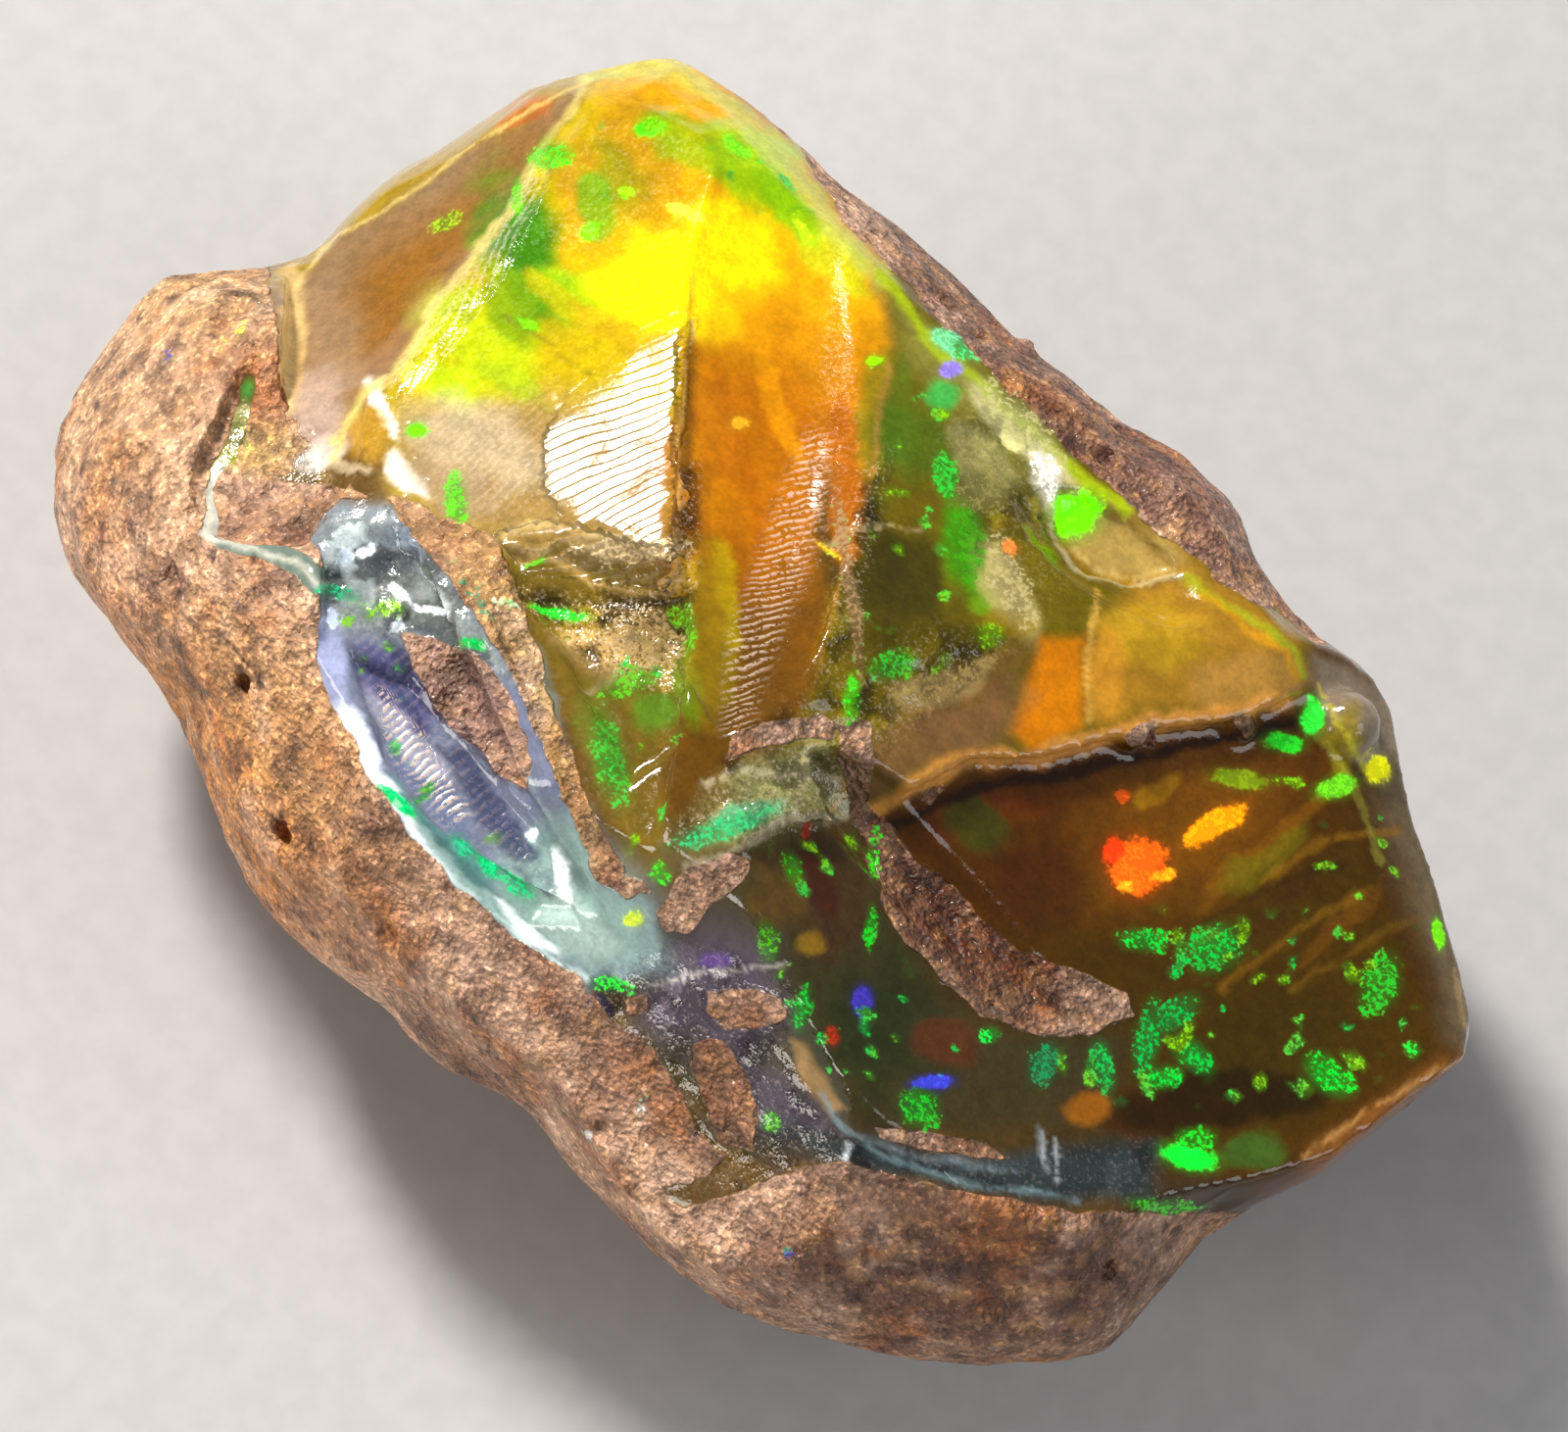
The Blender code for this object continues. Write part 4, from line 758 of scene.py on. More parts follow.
# Noise fields: wavelength in mm, a shift that sets each field apart, and strength
NOISE = {
    "wobble": (1.4, 5.0, 7.0),
    "wobble_small": (0.5, 9.0, 4.0),
    "drift": (2.6, 15.0, 12.0),
    "cloud": (2.2, 3.0, 1.0),
    "mist": (0.8, 11.0, 1.0),
    "border": (2.5, 21.0, 0.8),
    "back_border": (5.0, 23.0, 3.0),
    "back_shade": (3.0, 25.0, 0.8),
    "speck_places": (0.55, 27.0, 1.0),
    "speck_hue": (1.6, 29.0, 1.0),
    "crust_lumps": (1.7, 31.0, 0.11),
    "crust_lumps_small": (0.75, 37.0, 0.07),
    "pit_cells": (1.5, 41.0, 1.0),
    "pit_places": (2.6, 43.0, 1.0),
    "glass_waves": (4.5, 51.0, 0.06),
    "glass_waves_small": (1.3, 53.0, 0.015),
    "facets": (0.9, 61.0, 1.0),
    "groove_bend": (4.0, 71.0, 1.6),
    "groove_bend_small": (0.8, 73.0, 0.3),
    "groove_fray": (1.1, 77.0, 0.6),
    "groove_fray_small": (0.45, 75.0, 0.4),
    "rock_broad": (4.5, 81.0, 1.0),
    "rock_middle": (1.5, 83.0, 1.0),
    "rock_small": (0.6, 87.0, 1.0),
    "rock_rust": (2.6, 89.0, 1.0),
}

# Limits and sizes of the relief in millimetres, and how many pixels of wobble shift a facet by one
THINNED_BELOW = -0.3
FAR_OUTSIDE = -9.0
BACK_DROP = 3.6
PIT_DEPTH = 0.22
FACET_WARP = 60.0

# Grooves that are paler than this run raggedly
FRAYED_ABOVE = 0.5

# The opal where no area colours it, with a faint painted glow
PLAIN_OPAL = (120, 90, 40)
PLAIN_CLEARNESS = 0.4
PLAIN_GLOW = 0.05

# Single colours of the opal and of the host rock, from 0 to 255
BACK_OPAL = (124, 96, 40)
PLAIN_FIRE = (10, 200, 60)
SPECK_GREEN = (10, 190, 70)
SPECK_LIME = (130, 200, 10)
# Pale colour of groove crests, partly painted highlight, and of painted glints; and painted shade for the low
# parts of chipped spots
PALE_CREST_AND_GLINT = (232, 208, 190)
CHIP_SHADE = (46, 34, 18)
ROCK_BROWN = (160, 118, 92)
ROCK_PALE = (216, 174, 146)
ROCK_CREAM = (236, 196, 168)
ROCK_RUST = (186, 108, 40)
ROCK_TAN = (204, 152, 92)
ROCK_DARK = (92, 58, 42)
ROCK_PIT = (48, 28, 20)

# The clear body of the opal: how it bends light, and what it lets through
OPAL_IOR = 1.45
BODY_COLOUR = (0.90, 0.68, 0.04)
BODY_DENSITY = 140.0

# The floor in metres, a hair under the stone, and the room's even light
FLOOR_HALF = 1.5
FLOOR_GAP = 0.00002
FLOOR_GREY = (0.44, 0.44, 0.45)
FLOOR_PALE = (0.47, 0.47, 0.48)
ROOM_COLOUR = (0.88, 0.90, 0.94)
ROOM_STRENGTH = 0.19

# Lamps: direction in the view frame, distance and size in metres, power and colour
LAMPS = {
    "key": ((-0.335, 0.827, 0.448), 0.45, 0.085, 2.35, (1.0, 0.94, 0.86)),
    "key_edge": ((-0.335, 0.827, 0.448), 0.47, 0.16, 0.6, (1.0, 0.94, 0.86)),
    "fill": ((0.7, -0.1, 0.7), 0.6, 0.35, 1.15, (0.95, 0.97, 1.0)),
    "left": ((-0.9, -0.2, 0.5), 0.6, 0.25, 1.6, (1.0, 0.95, 0.88)),
}


def view_basis():
    """The view frame's directions in the stone's frame: right, up and towards the viewer."""
    sin_a, cos_a = math.sin(VIEW_AZIMUTH), math.cos(VIEW_AZIMUTH)
    sin_e, cos_e = math.sin(VIEW_ELEVATION), math.cos(VIEW_ELEVATION)
    right = Vector((cos_a, sin_a, 0.0))
    up = Vector((-sin_a * sin_e, cos_a * sin_e, cos_e))
    near = Vector((sin_a * cos_e, -cos_a * cos_e, sin_e))
    return right, up, near


RIGHT, UP, NEAR = view_basis()


def put_in_scene(name, data):
    item = bpy.data.objects.new(name, data)
    bpy.context.scene.collection.objects.link(item)
    return item


def linear(colour):
    """A screen colour from 0 to 255 as the renderer's linear colour."""
    share = np.array(colour) / 255.0
    return np.where(share <= 0.04045, share / 12.92, ((share + 0.055) / 1.055) ** 2.4)


def smooth(low, high, value):
    """0 below low, 1 above high, and an S curve between."""
    share = np.clip((value - low) / (high - low), 0.0, 1.0)
    return share * share * (3.0 - 2.0 * share)


def blend(below, above, share):
    """The colours below with the ones above laid over them, by a share at each place."""
    return below + (above - below) * share[:, None]


def sample(function, places, name):
    """What a noise function gives at places in millimetres, with the named field's numbers."""
    wavelength, shift, strength = NOISE[name]
    return strength * np.array([function(Vector(p)) for p in places / wavelength + shift])


def waves(places, name):
    """Smooth noise to both sides of 0."""
    return sample(noise.noise, places, name)


def swirl(places, name):
    """Smooth noise with three parts."""
    return sample(noise.noise_vector, places, name)


def rough_waves(places, name):
    """Noise to both sides of 0 with finer and finer parts."""
    falloff, step, layers = 0.7, 2.1, 4
    return sample(lambda p: noise.fractal(p, falloff, step, layers), places, name)


def cells(places, name):
    """The distance to the nearest of many scattered points, in cell widths."""
    return sample(lambda p: noise.voronoi(p)[0][0], places, name)


def facets(places, name):
    """Flat facets that each tilt their own way: their height, in units of their size, and a brightness from
    the tilt, which is painted light and shade.
    """
    def facet(p):
        centre = noise.voronoi(p)[1][0]
        tilt = noise.noise_vector(centre * 13.7)
        return tilt.dot(p - centre) + 0.25 * tilt.x, tilt.y

    found = sample(facet, places, name)
    return found[:, 0], found[:, 1]


def line_distance(spots, line, closed):
    """The distance from each spot to a line of points, in pixels."""
    ends = list(zip(line[:-1], line[1:])) + ([(line[-1], line[0])] if closed else [])
    nearest = np.full(len(spots), np.inf)
    for start, end in ends:
        start, along = np.array(start, float), np.array(end, float) - np.array(start, float)
        share = np.clip((spots - start) @ along / (along @ along), 0.0, 1.0)
        nearest = np.minimum(nearest, np.linalg.norm(spots - start - share[:, None] * along, axis=1))
    return nearest


def inside_depth(spots, outline):
    """How far each spot lies inside the outline, in millimetres, below 0 outside it."""
    inside = np.zeros(len(spots), bool)
    for (x0, y0), (x1, y1) in zip(outline, outline[1:] + outline[:1]):
        if y0 != y1:
            crosses = (spots[:, 1] < y0) != (spots[:, 1] < y1)
            inside ^= crosses & (spots[:, 0] < x0 + (spots[:, 1] - y0) * (x1 - x0) / (y1 - y0))
    return np.where(inside, 1.0, -1.0) * line_distance(spots, outline, True) / PIXELS_PER_MM


def area_share(spots, outline, softness):
    """1 inside the outline, 0 outside it, with an edge as soft as given in millimetres."""
    return smooth(-softness, softness, inside_depth(spots, outline))


def oval_share(spots, middle, half, turn):
    """How far each spot lies within a turned oval, 1 at its middle and 0 at its edge."""
    turn = math.radians(turn)
    x, y = spots[:, 0] - middle[0], middle[1] - spots[:, 1]
    along = (x * math.cos(turn) + y * math.sin(turn)) / half[0]
    across = (y * math.cos(turn) - x * math.sin(turn)) / half[1]
    return 1.0 - np.hypot(along, across)


def read_vectors(items, what):
    numbers = np.empty(len(items) * 3)
    items.foreach_get(what, numbers)
    return numbers.reshape(-1, 3)


def view_places(points):
    """Each point's u, v and w in the view frame, in millimetres."""
    away = (points - np.array(STONE_MIDDLE)) / MM
    w = away @ np.array(NEAR)
    narrowing = 1.0 - w / VIEW_DISTANCE
    return np.stack([away @ np.array(RIGHT) / narrowing, away @ np.array(UP) / narrowing, w], axis=1)


def picture_spots(places):
    """Where each place is seen in the picture, in pixels."""
    x = PICTURE_MIDDLE[0] + places[:, 0] * PIXELS_PER_MM
    y = PICTURE_MIDDLE[1] - places[:, 1] * PIXELS_PER_MM
    return np.stack([x, y], axis=1)


def section_height(places):
    """How far each place lies in front of the opal's lowest broken edge, in millimetres."""
    return places[:, 2] - SECTION_SLOPE_U * places[:, 0] - SECTION_SLOPE_V * places[:, 1] - OPAL_LOWEST


def opal_depth(spots, front):
    """How deep each spot lies inside the broken opal, in millimetres, below 0 on host rock."""
    depth = np.full(len(spots), FAR_OUTSIDE)
    for outline in OPAL_AREAS.values():
        depth = np.maximum(depth, inside_depth(spots, outline))
    for outline in ROCK_AREAS.values():
        depth = np.minimum(depth, -inside_depth(spots, outline))
    return np.minimum(depth, front)


def changed_copy(item, name, kind, **settings):
    """The mesh that an object gets from one modifier, which is then taken off it again."""
    modifier = item.modifiers.new(name, kind)
    for setting, value in settings.items():
        setattr(modifier, setting, value)
    mesh = bpy.data.meshes.new_from_object(item.evaluated_get(bpy.context.evaluated_depsgraph_get()))
    item.modifiers.remove(modifier)
    return mesh


def fine_stone():
    """A fine mesh of the stone's solid, coarser on the host rock, as a new object."""
    rough = put_in_scene("rough_copy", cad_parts["rough_opal"].data.copy())
    rough.data = changed_copy(rough, "even_grid", "REMESH", mode="VOXEL", voxel_size=GRID_MM * MM)
    places = view_places(read_vectors(rough.data.vertices, "co"))
    depth = opal_depth(picture_spots(places), section_height(places))
    group = rough.vertex_groups.new(name="host_rock")
    group.add([int(number) for number in np.flatnonzero(depth < THINNED_BELOW)], 1.0, "REPLACE")
    mesh = changed_copy(rough, "thin_rock", "DECIMATE", ratio=KEPT_SHARE, vertex_group=group.name)
    bpy.data.objects.remove(rough)
    return put_in_scene("fire_opal_stone", mesh)


def paint(spots, drifted, points):
    """The opal's colour, clearness and glow at each place."""
    cloud, mist = waves(points, "cloud"), waves(points, "mist")
    colour = np.tile(linear(PLAIN_OPAL), (len(spots), 1))
    clear = np.full(len(spots), PLAIN_CLEARNESS)
    glow = np.full(len(spots), PLAIN_GLOW)
    for outline, tint, softness, clearness, light in COLOUR_AREAS.values():
        share = smooth(-softness, softness, inside_depth(spots, outline) + 0.5 * softness * cloud)
        colour = blend(colour, linear(tint), share)
        clear += (clearness - clear) * share
        glow += (light - glow) * share
    for middle, half, turn, tint, strength, light in SHEETS.values():
        reach = oval_share(drifted, middle, half, turn) + 0.25 * cloud + 0.22 * mist
        crisp = 0.08 + min(half) / 180.0
        share = smooth(-crisp, crisp + 0.1, reach) * strength
        colour = blend(colour, linear(tint), share)
        clear *= 1.0 - 0.6 * share
        glow += (light - glow) * share
    for line, width, tint, strength, light in EDGE_LINES.values():
        reach = 1.0 - line_distance(spots, line, False) / width + 0.5 * mist
        share = smooth(-0.1, 0.7, reach) * strength
        colour = blend(colour, linear(tint), share)
        clear *= 1.0 - 0.5 * share
        glow += (light - glow) * share
    return colour, clear, glow


def paint_rock(points, spots):
    """The host rock's colour at each place: copper-brown with paler, darker and rusty parts."""
    broad, middle = rough_waves(points, "rock_broad"), rough_waves(points, "rock_middle")
    small, rust = rough_waves(points, "rock_small"), rough_waves(points, "rock_rust")
    colour = blend(linear(ROCK_BROWN), linear(ROCK_PALE), smooth(-0.5, 0.5, broad))
    for centre, half, turn, tint, strength in ROCK_TINTS.values():
        share = smooth(-0.3, 0.6, oval_share(spots, centre, half, turn) + 0.3 * middle) * strength
        colour = blend(colour, linear(tint), share)
    colour = blend(colour, linear(ROCK_CREAM), 0.45 * smooth(0.1, 0.8, middle))
    colour = blend(colour, linear(ROCK_RUST), 0.5 * smooth(0.15, 0.7, rust))
    colour = blend(colour, linear(ROCK_TAN), 0.45 * smooth(0.0, 0.7, small))
    colour = blend(colour, linear(ROCK_DARK), 0.7 * smooth(-0.1, -0.7, middle))
    return blend(colour, linear(ROCK_PIT), 0.8 * smooth(-0.35, -0.9, small))


def grown_in(spots):
    """How far each place lies within the broken front, where the host rock is darker."""
    return smooth(0.2, 1.2, inside_depth(spots, OPAL_AREAS["whole_front"]))


def fire_layers(spots, points):
    """Each fleck, then each field of specks: its share at each place, its colour, solidness and glow."""
    for middle, half, turn, tint, solidness, light in FLECKS.values():
        yield smooth(-0.35, 0.6, oval_share(spots, middle, half, turn)), linear(tint), solidness, light
    small, hue = waves(points, "speck_places"), waves(points, "speck_hue")
    tints = blend(linear(SPECK_GREEN), linear(SPECK_LIME), smooth(-0.3, 0.5, hue))
    for outline, many, light in SPECKS.values():
        inside = smooth(-0.3, 0.6, inside_depth(spots, outline))
        yield inside * smooth(0.52 - 0.22 * many, 0.72 - 0.22 * many, small + 0.25 * hue), tints, 0.5, light


def flecks(spots, points):
    """The crisp fire's colour, soft share, solidness and glow at each place."""
    colour = np.tile(linear(PLAIN_FIRE), (len(spots), 1))
    best, solid, glow = np.zeros((3, len(spots)))
    for share, tint, solidness, light in fire_layers(spots, points):
        wins = share > best
        colour = np.where(wins[:, None], tint, colour)
        solid = np.where(wins, solidness, solid)
        glow = np.where(wins, light, glow)
        best = np.maximum(best, share)
    return colour, best, solid, glow


def grooves(spots, places):
    """Each place's running number across the grooves, their depth in mm and how pale they are."""
    phase, depth, pale, strongest = np.zeros((4, len(spots)))
    bend = waves(places, "groove_bend") + waves(places, "groove_bend_small")
    fray = waves(places, "groove_fray") + waves(places, "groove_fray_small")
    for outline, softness, turn, spacing, deep, paleness in GROOVES.values():
        share = area_share(spots, outline, softness)
        turn = math.radians(turn)
        across = (places[:, 1] * math.cos(turn) - places[:, 0] * math.sin(turn)) / spacing
        wins = share > strongest
        phase = np.where(wins, across + bend + fray * (paleness > FRAYED_ABOVE), phase)
        depth = np.where(wins, share * deep, depth)
        pale = np.where(wins, share * paleness, pale)
        strongest = np.maximum(share, strongest)
    return phase, depth, pale


def chips(spots):
    """How large the broken facets are at each place, and how much painted glitter they get."""
    facet_size, glitter = np.zeros((2, len(spots)))
    for outline, softness, size, shine in CHIPPED.values():
        share = area_share(spots, outline, softness)
        facet_size = np.maximum(facet_size, share * size)
        glitter = np.maximum(glitter, share * shine)
    return facet_size, glitter


def relief(points, spots, wobble, opal):
    """How far each place is lifted by lumps, pits, steps and swells, in millimetres."""
    rock = 1.0 - opal
    crust = waves(points, "crust_lumps") + waves(points, "crust_lumps_small")
    pit_share = smooth(0.42, 0.12, cells(points, "pit_cells"))
    crust -= PIT_DEPTH * pit_share * smooth(0.1, 0.45, waves(points, "pit_places"))
    glass = waves(points, "glass_waves") + waves(points, "glass_waves_small")
    lift = rock * crust + opal * glass
    for outline, drop in STEPS.values():
        inside = inside_depth(spots + wobble[:, 1:] * 0.5, outline)
        lift -= drop * opal * smooth(-0.05, 0.22, inside) * (1.0 - smooth(0.5, 3.0, inside))
    for middle, half, turn, height in SWELLS.values():
        lift += height * rock * smooth(0.0, 0.7, oval_share(spots, middle, half, turn))
    return lift


def store(mesh, name, colour, alpha):
    layer = mesh.attributes.new(name, "FLOAT_COLOR", "POINT")
    layer.data.foreach_set("color", np.column_stack([colour, alpha]).astype(np.float32).ravel())


def shape_surface(stone):
    """Give the fine mesh its relief, and keep the numbers that the material reads."""
    mesh = stone.data
    corners, normals = read_vectors(mesh.vertices, "co"), read_vectors(mesh.vertex_normals, "vector")
    places, points = view_places(corners), corners / MM
    spots = picture_spots(places)
    wobble = swirl(points, "wobble") + swirl(points, "wobble_small")
    ragged, near_spots = spots + wobble[:, :2], spots + wobble[:, :2] * 0.6
    drifted = spots + (swirl(points, "drift") + wobble)[:, :2]
    height = section_height(places)

    # Where the surface turns away from the viewer, the opal ends sooner, along a broad irregular border
    away = smooth(0.15, -0.35, normals @ np.array(NEAR))
    border = height + waves(points, "border")
    depth = opal_depth(ragged, border + away * (waves(points, "back_border") - BACK_DROP))
    opal = smooth(-0.08, 0.08, depth)

    colour, clear, glow = paint(near_spots, drifted, points)
    back_colour = linear(BACK_OPAL) * (1.0 + waves(points, "back_shade"))[:, None]
    colour = blend(colour, back_colour, 0.8 * away)
    glow *= 1.0 - 0.8 * away
    fleck_colour, fleck_share, fleck_solid, fleck_glow = flecks(near_spots, points)
    fleck_share *= smooth(0.5, 0.1, away)
    # A painted glow and tint round each fleck
    halo = fleck_share * opal
    colour = blend(colour, fleck_colour * 0.7, 0.6 * halo)
    glow += 0.10 * halo
    phase, groove_depth, pale = grooves(spots, places)
    facet_size, glitter = chips(spots)
    # Chipped facets are painted lighter or darker by their tilt, which stands for light and shade on them
    facet_height, facet_light = facets(points + wobble / FACET_WARP, "facets")
    colour = colour * np.clip(1.0 + 2.4 * facet_light * facet_size, 0.4, 2.2)[:, None]
    rock_colour = paint_rock(points, ragged) * (1.0 - 0.25 * grown_in(spots) * (height > 0.0))[:, None]

    lift = relief(points, spots, wobble, opal) + opal * facet_size * 0.5 * facet_height
    corners = corners + normals * lift[:, None] * MM
    corners[:, 2] = np.maximum(corners[:, 2], 0.0)
    mesh.vertices.foreach_set("co", corners.ravel())
    mesh.update()

    store(mesh, "opal_paint", colour, glow)
    store(mesh, "rock_paint", rock_colour, np.clip(0.5 - depth / 1.2, 0.0, 1.0))
    store(mesh, "fleck_paint", fleck_colour, fleck_share)
    store(mesh, "marks", np.column_stack([clear, phase, groove_depth]), glitter)
    store(mesh, "extras", np.column_stack([pale, fleck_solid, fleck_glow]), np.ones(len(points)))
    mesh.polygons.foreach_set("use_smooth", np.ones(len(mesh.polygons), bool))
    triangles = sum(len(polygon.vertices) - 2 for polygon in mesh.polygons)
    print("opal share", round(float(opal.mean()), 3), "triangles", triangles)


class Nodes:
    """Short ways to add shader nodes and join them."""

    def __init__(self, tree):
        self.tree = tree

    def put(self, socket, value):
        """Give a socket a constant value, or join another node's output to it."""
        if isinstance(value, bpy.types.NodeSocket):
            self.tree.links.new(value, socket)
        elif isinstance(value, tuple) and len(value) == 3 and socket.type == "RGBA":
            socket.default_value = (*value, 1.0)
        else:
            socket.default_value = value

    def add(self, kind, settings=None, **inputs):
        node = self.tree.nodes.new("ShaderNode" + kind)
        for name, value in (settings or {}).items():
            setattr(node, name, value)
        for name, value in inputs.items():
            self.put(node.inputs[name.replace("_", " ")], value)
        return node

    def math(self, operation, first, second, clamp=False):
        node = self.add("Math", {"operation": operation, "use_clamp": clamp})
        self.put(node.inputs[0], first)
        self.put(node.inputs[1], second)
        return node.outputs[0]

    def times(self, first, second):
        return self.math("MULTIPLY", first, second)

    def plus(self, first, second, clamp=False):
        return self.math("ADD", first, second, clamp)

    def minus(self, first, second):
        return self.math("SUBTRACT", first, second)

    def ramp(self, value, low, high, to_low=0.0, to_high=1.0):
        node = self.add("MapRange", {"interpolation_type": "SMOOTHSTEP"}, Value=value)
        for socket, number in zip(("From Min", "From Max", "To Min", "To Max"), (low, high, to_low, to_high)):
            node.inputs[socket].default_value = number
        return node.outputs[0]

    def mix(self, share, below, above, kind="MIX"):
        node = self.add("Mix", {"data_type": "RGBA", "blend_type": kind})
        for number, value in zip((0, 6, 7), (share, below, above)):
            self.put(node.inputs[number], value)
        return node.outputs[2]

    def between(self, share, below, above):
        """The number below at a share of 0, and the one above at 1."""
        node = self.add("Mix", {"data_type": "FLOAT"})
        for number, value in zip((0, 2, 3), (share, below, above)):
            self.put(node.inputs[number], value)
        return node.outputs[0]

    def shaded(self, colour, shade):
        """The colour with its brightness multiplied by the shade."""
        grey = self.add("CombineColor", Red=shade, Green=shade, Blue=shade).outputs[0]
        return self.mix(1.0, colour, grey, "MULTIPLY")

    def noise(self, place, scale, detail=2.0, rough=0.5):
        return self.add("TexNoise", Vector=place, Scale=scale, Detail=detail, Roughness=rough).outputs["Fac"]

    def stored(self, name):
        return self.add("Attribute", {"attribute_name": name}).outputs

    def parts(self, colour):
        return self.add("SeparateColor", Color=colour).outputs


def screen(colour):
    """A screen colour as a tuple in the renderer's linear colour."""
    return tuple(float(part) for part in linear(colour))


def broken_fire(n, fleck_share, solidness, middle, fine):
    """Where the crisp fire shows, broken into fine bright specks, and how bright it is."""
    ragged = n.plus(n.times(middle, 3.4), n.minus(n.times(fine, 1.3), 2.35))
    ragged = n.times(ragged, n.minus(1.0, n.times(solidness, 0.7)))
    share = n.times(n.ramp(n.plus(fleck_share, ragged), 0.38, 0.80), n.ramp(fleck_share, 0.02, 0.2))
    share = n.times(share, n.math("MAXIMUM", solidness, n.ramp(fine, 0.42, 0.60, 0.22, 1.0)))
    flicker = n.ramp(n.plus(middle, fine), 0.86, 1.16, 0.22, 0.9)
    flicker = n.math("MAXIMUM", flicker, n.times(solidness, 0.62))
    return share, flicker


def stone_material():
    material = bpy.data.materials.new("fire_opal_and_host_rock")
    material.use_nodes = True
    material.cycles.emission_sampling = "NONE"
    material.node_tree.nodes.clear()
    n = Nodes(material.node_tree)
    out = n.add("OutputMaterial")
    shader = n.add("BsdfPrincipled")
    n.put(out.inputs["Surface"], shader.outputs[0])

    place = n.add("TexCoord").outputs["Object"]
    place = n.add("VectorMath", {"operation": "SCALE"}, Vector=place, Scale=1.0 / MM).outputs[0]
    stored = ("opal_paint", "rock_paint", "fleck_paint", "marks", "extras")
    opal_paint, rock_paint, fleck_paint, marks, extras = [n.stored(name) for name in stored]
    pale, solidness, fleck_glow = n.parts(extras["Color"])
    clear, phase, groove_depth = n.parts(marks["Color"])
    glitter = marks["Alpha"]

    middle = n.noise(place, 1.7, 2.0, 0.68)
    fine = n.noise(place, 7.0, 1.0, 0.8)
    grain = n.add("TexVoronoi", {"feature": "F1"}, Vector=place, Scale=7.5).outputs
    cell = n.parts(grain["Color"])
    groove = n.math("FRACT", phase, 0.0)
    groove = n.math("MINIMUM", n.times(groove, 1.3), n.times(n.minus(1.0, groove), 4.4))

    # Host rock: grains of different brightness, the brightest painted as glints, some of them shiny, and
    # darker in the low parts of the bump, which is painted shade
    rock = n.ramp(n.plus(rock_paint["Alpha"], n.times(middle, 0.1)), 0.52, 0.58)
    rock_shade = n.times(n.ramp(cell[0], 0.72, 1.0, 0.94, 1.8), n.ramp(middle, 0.36, 0.62, 0.62, 1.14))
    rock_colour = n.shaded(rock_paint["Color"], rock_shade)
    rock_roughness = n.ramp(cell[1], 0.6, 0.95, 0.52, 0.20)
    rock_height = n.plus(n.times(fine, 0.09), n.times(n.minus(middle, 0.5), 0.5))

    # Opal: clouds in its colour, pale groove crests that are partly painted highlight, painted glints, and
    # painted shade in the low parts of chipped spots
    shade = n.times(n.ramp(middle, 0.3, 0.7, 0.86, 1.12), n.ramp(fine, 0.3, 0.7, 0.92, 1.07))
    opal_colour = n.shaded(opal_paint["Color"], shade)
    crest = n.times(n.times(n.ramp(groove, 0.35, 0.85), n.ramp(fine, 0.34, 0.55)), pale)
    glint = n.times(glitter, n.ramp(fine, 0.54, 0.70))
    highlight_paint = n.plus(crest, glint, True)
    opal_colour = n.mix(highlight_paint, opal_colour, screen(PALE_CREST_AND_GLINT))
    opal_colour = n.mix(n.times(glitter, n.ramp(fine, 0.42, 0.33)), opal_colour, screen(CHIP_SHADE))
    opal_roughness = n.ramp(fine, 0.35, 0.75, 0.06, 0.20)
    fine_depth = n.plus(n.times(glitter, 0.09), 0.005)
    opal_height = n.plus(n.times(fine, fine_depth), n.times(groove, groove_depth))

    # The fire lies over both, glows with painted emission like the opal's painted glow, and hides the clear
    # body where it shows
    fire, flicker = broken_fire(n, fleck_paint["Alpha"], solidness, middle, fine)
    colour = n.mix(fire, n.mix(rock, opal_colour, rock_colour), n.shaded(fleck_paint["Color"], flicker))
    opal = n.minus(1.0, rock)
    solid = n.times(n.plus(fire, highlight_paint, True), 0.75)
    n.put(shader.inputs["Base Color"], colour)
    n.put(shader.inputs["Emission Color"], colour)
    light = n.plus(n.times(opal_paint["Alpha"], opal), n.times(fire, fleck_glow))
    n.put(shader.inputs["Emission Strength"], light)
    n.put(shader.inputs["Transmission Weight"], n.times(n.times(clear, opal), n.minus(1.0, solid)))
    n.put(shader.inputs["Roughness"], n.between(rock, opal_roughness, rock_roughness))
    height = n.between(rock, opal_height, rock_height)
    n.put(shader.inputs["Normal"], n.add("Bump", Strength=1.0, Distance=MM, Height=height).outputs[0])
    shader.inputs["IOR"].default_value = OPAL_IOR
    body = n.add("VolumeAbsorption", Color=BODY_COLOUR, Density=BODY_DENSITY)
    n.put(out.inputs["Volume"], body.outputs[0])
    return material


def floor_material():
    material = bpy.data.materials.new("pale_floor")
    material.use_nodes = True
    n = Nodes(material.node_tree)
    shader = material.node_tree.nodes["Principled BSDF"]
    speck = n.noise(n.add("TexCoord").outputs["Object"], 900.0, 3.0)
    n.put(shader.inputs["Base Color"], n.mix(n.ramp(speck, 0.3, 0.7), FLOOR_GREY, FLOOR_PALE))
    shader.inputs["Roughness"].default_value = 0.75
    return material


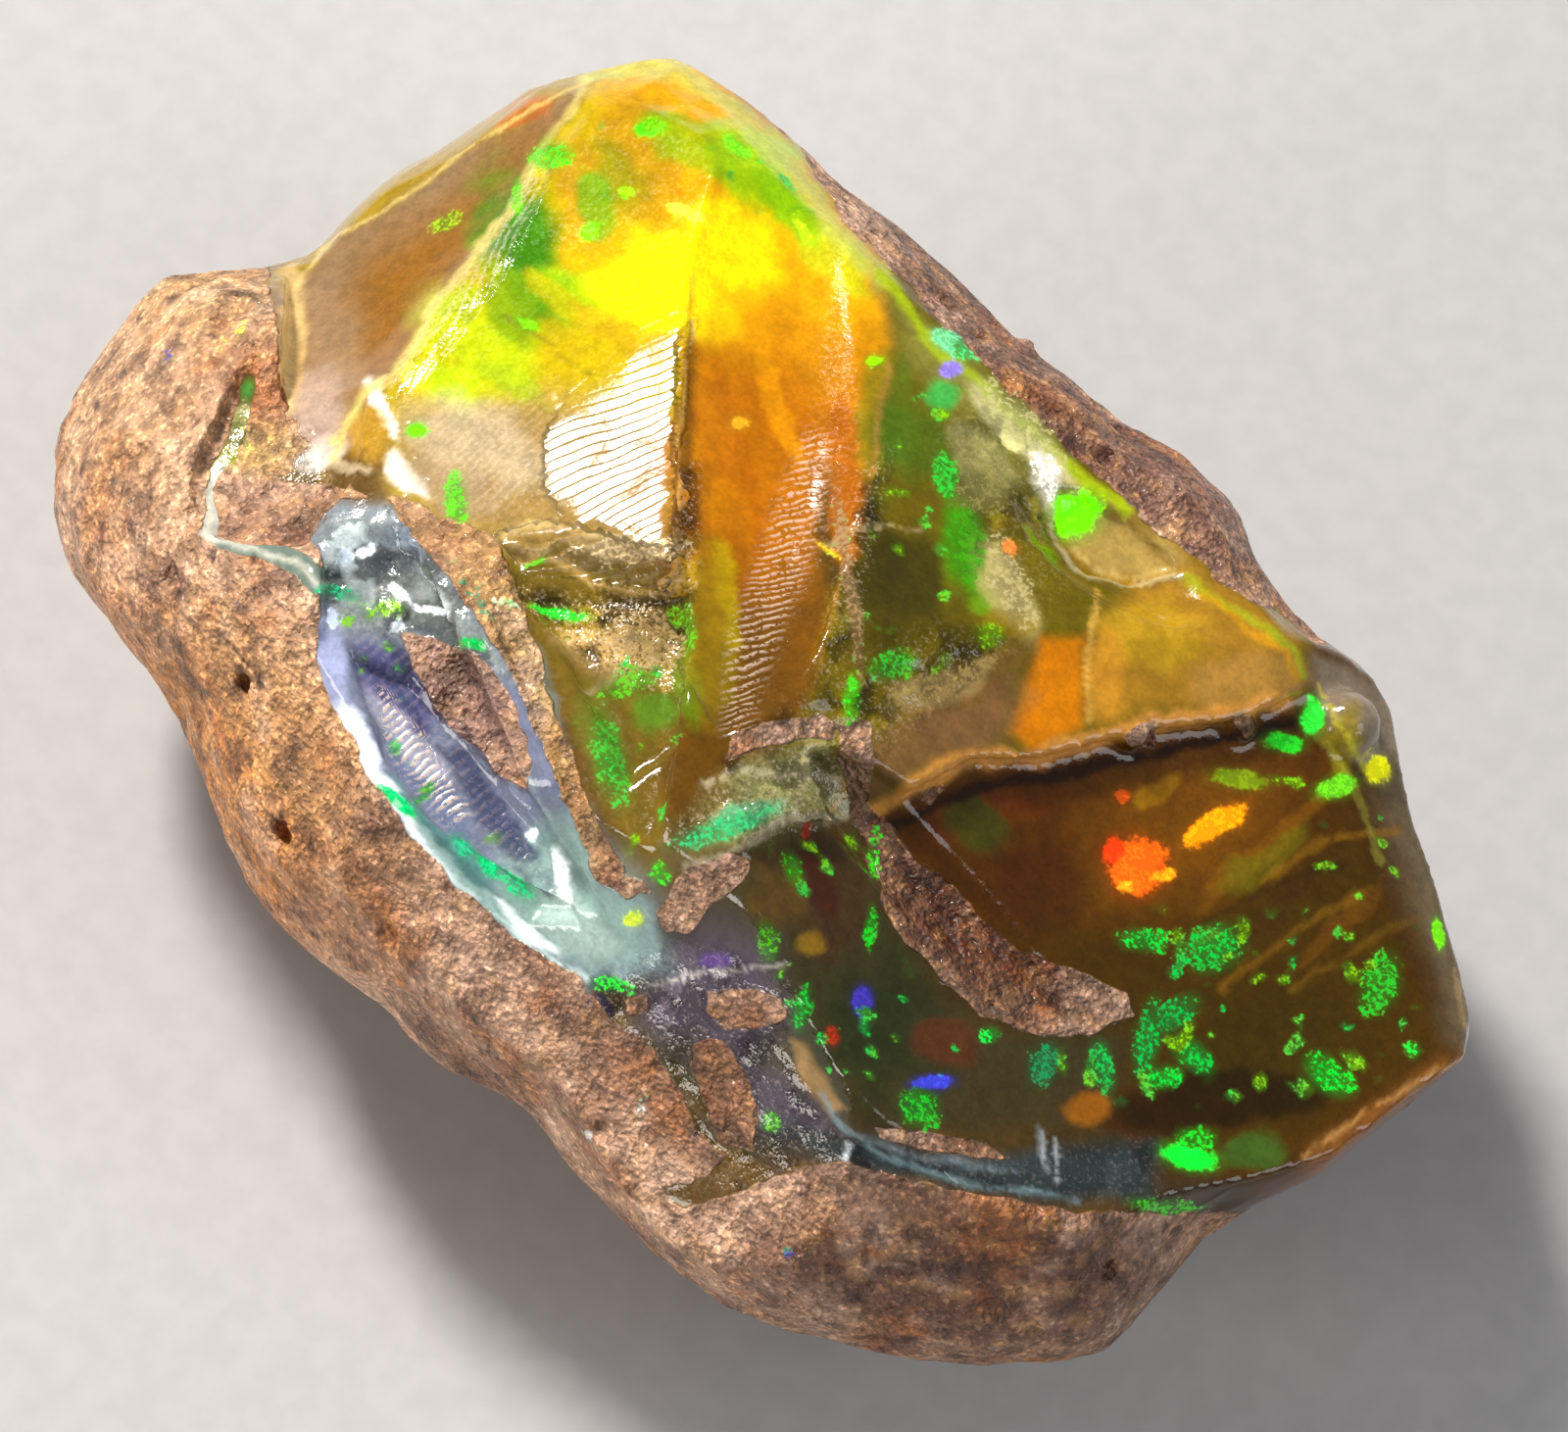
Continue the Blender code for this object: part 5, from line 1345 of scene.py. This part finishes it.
def make_floor():
    mesh = bpy.data.meshes.new("floor")
    corners = [(-FLOOR_HALF, -FLOOR_HALF, 0), (FLOOR_HALF, -FLOOR_HALF, 0)]
    corners += [(FLOOR_HALF, FLOOR_HALF, 0), (-FLOOR_HALF, FLOOR_HALF, 0)]
    mesh.from_pydata(corners, [], [(0, 1, 2, 3)])
    mesh.materials.append(floor_material())
    floor = put_in_scene("floor", mesh)
    floor.location.z = -FLOOR_GAP


def make_lights():
    """The even light of a room, and soft round lamps that face the stone."""
    world = bpy.data.worlds.new("studio")
    bpy.context.scene.world = world
    world.use_nodes = True
    background = world.node_tree.nodes["Background"]
    background.inputs["Color"].default_value = (*ROOM_COLOUR, 1.0)
    background.inputs["Strength"].default_value = ROOM_STRENGTH
    for name, (towards, distance, size, power, colour) in LAMPS.items():
        direction = (RIGHT * towards[0] + UP * towards[1] + NEAR * towards[2]).normalized()
        light = bpy.data.lights.new(name, "AREA")
        light.shape = "DISK"
        light.size = size
        light.energy = power
        light.color = colour
        lamp = put_in_scene(name, light)
        lamp.location = STONE_MIDDLE + direction * distance
        lamp.rotation_mode = "QUATERNION"
        lamp.rotation_quaternion = direction.to_track_quat("Z", "Y")


def make_camera():
    lens = bpy.data.cameras.new("camera")
    lens.sensor_width = SENSOR_WIDTH
    lens.lens = SENSOR_WIDTH * VIEW_DISTANCE / (PICTURE_WIDTH / PIXELS_PER_MM)
    lens.clip_start = 0.01
    lens.clip_end = 10.0
    camera = put_in_scene("camera", lens)
    turn = Matrix((RIGHT, UP, NEAR)).transposed().to_4x4()
    turn.translation = STONE_MIDDLE + NEAR * VIEW_DISTANCE * MM
    camera.matrix_world = turn
    bpy.context.scene.camera = camera
    bpy.context.scene.view_settings.view_transform = "Standard"


def limit_light_paths():
    cycles = bpy.context.scene.cycles
    cycles.max_bounces = 4
    cycles.diffuse_bounces = 2
    cycles.glossy_bounces = 2
    cycles.transmission_bounces = 4
    cycles.caustics_reflective = False


noise.seed_set(NOISE_SEED)
make_camera()
limit_light_paths()
make_floor()
make_lights()
stone = fine_stone()
shape_surface(stone)
stone.data.materials.clear()
stone.data.materials.append(stone_material())
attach(stone, "root")
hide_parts("rough_opal")
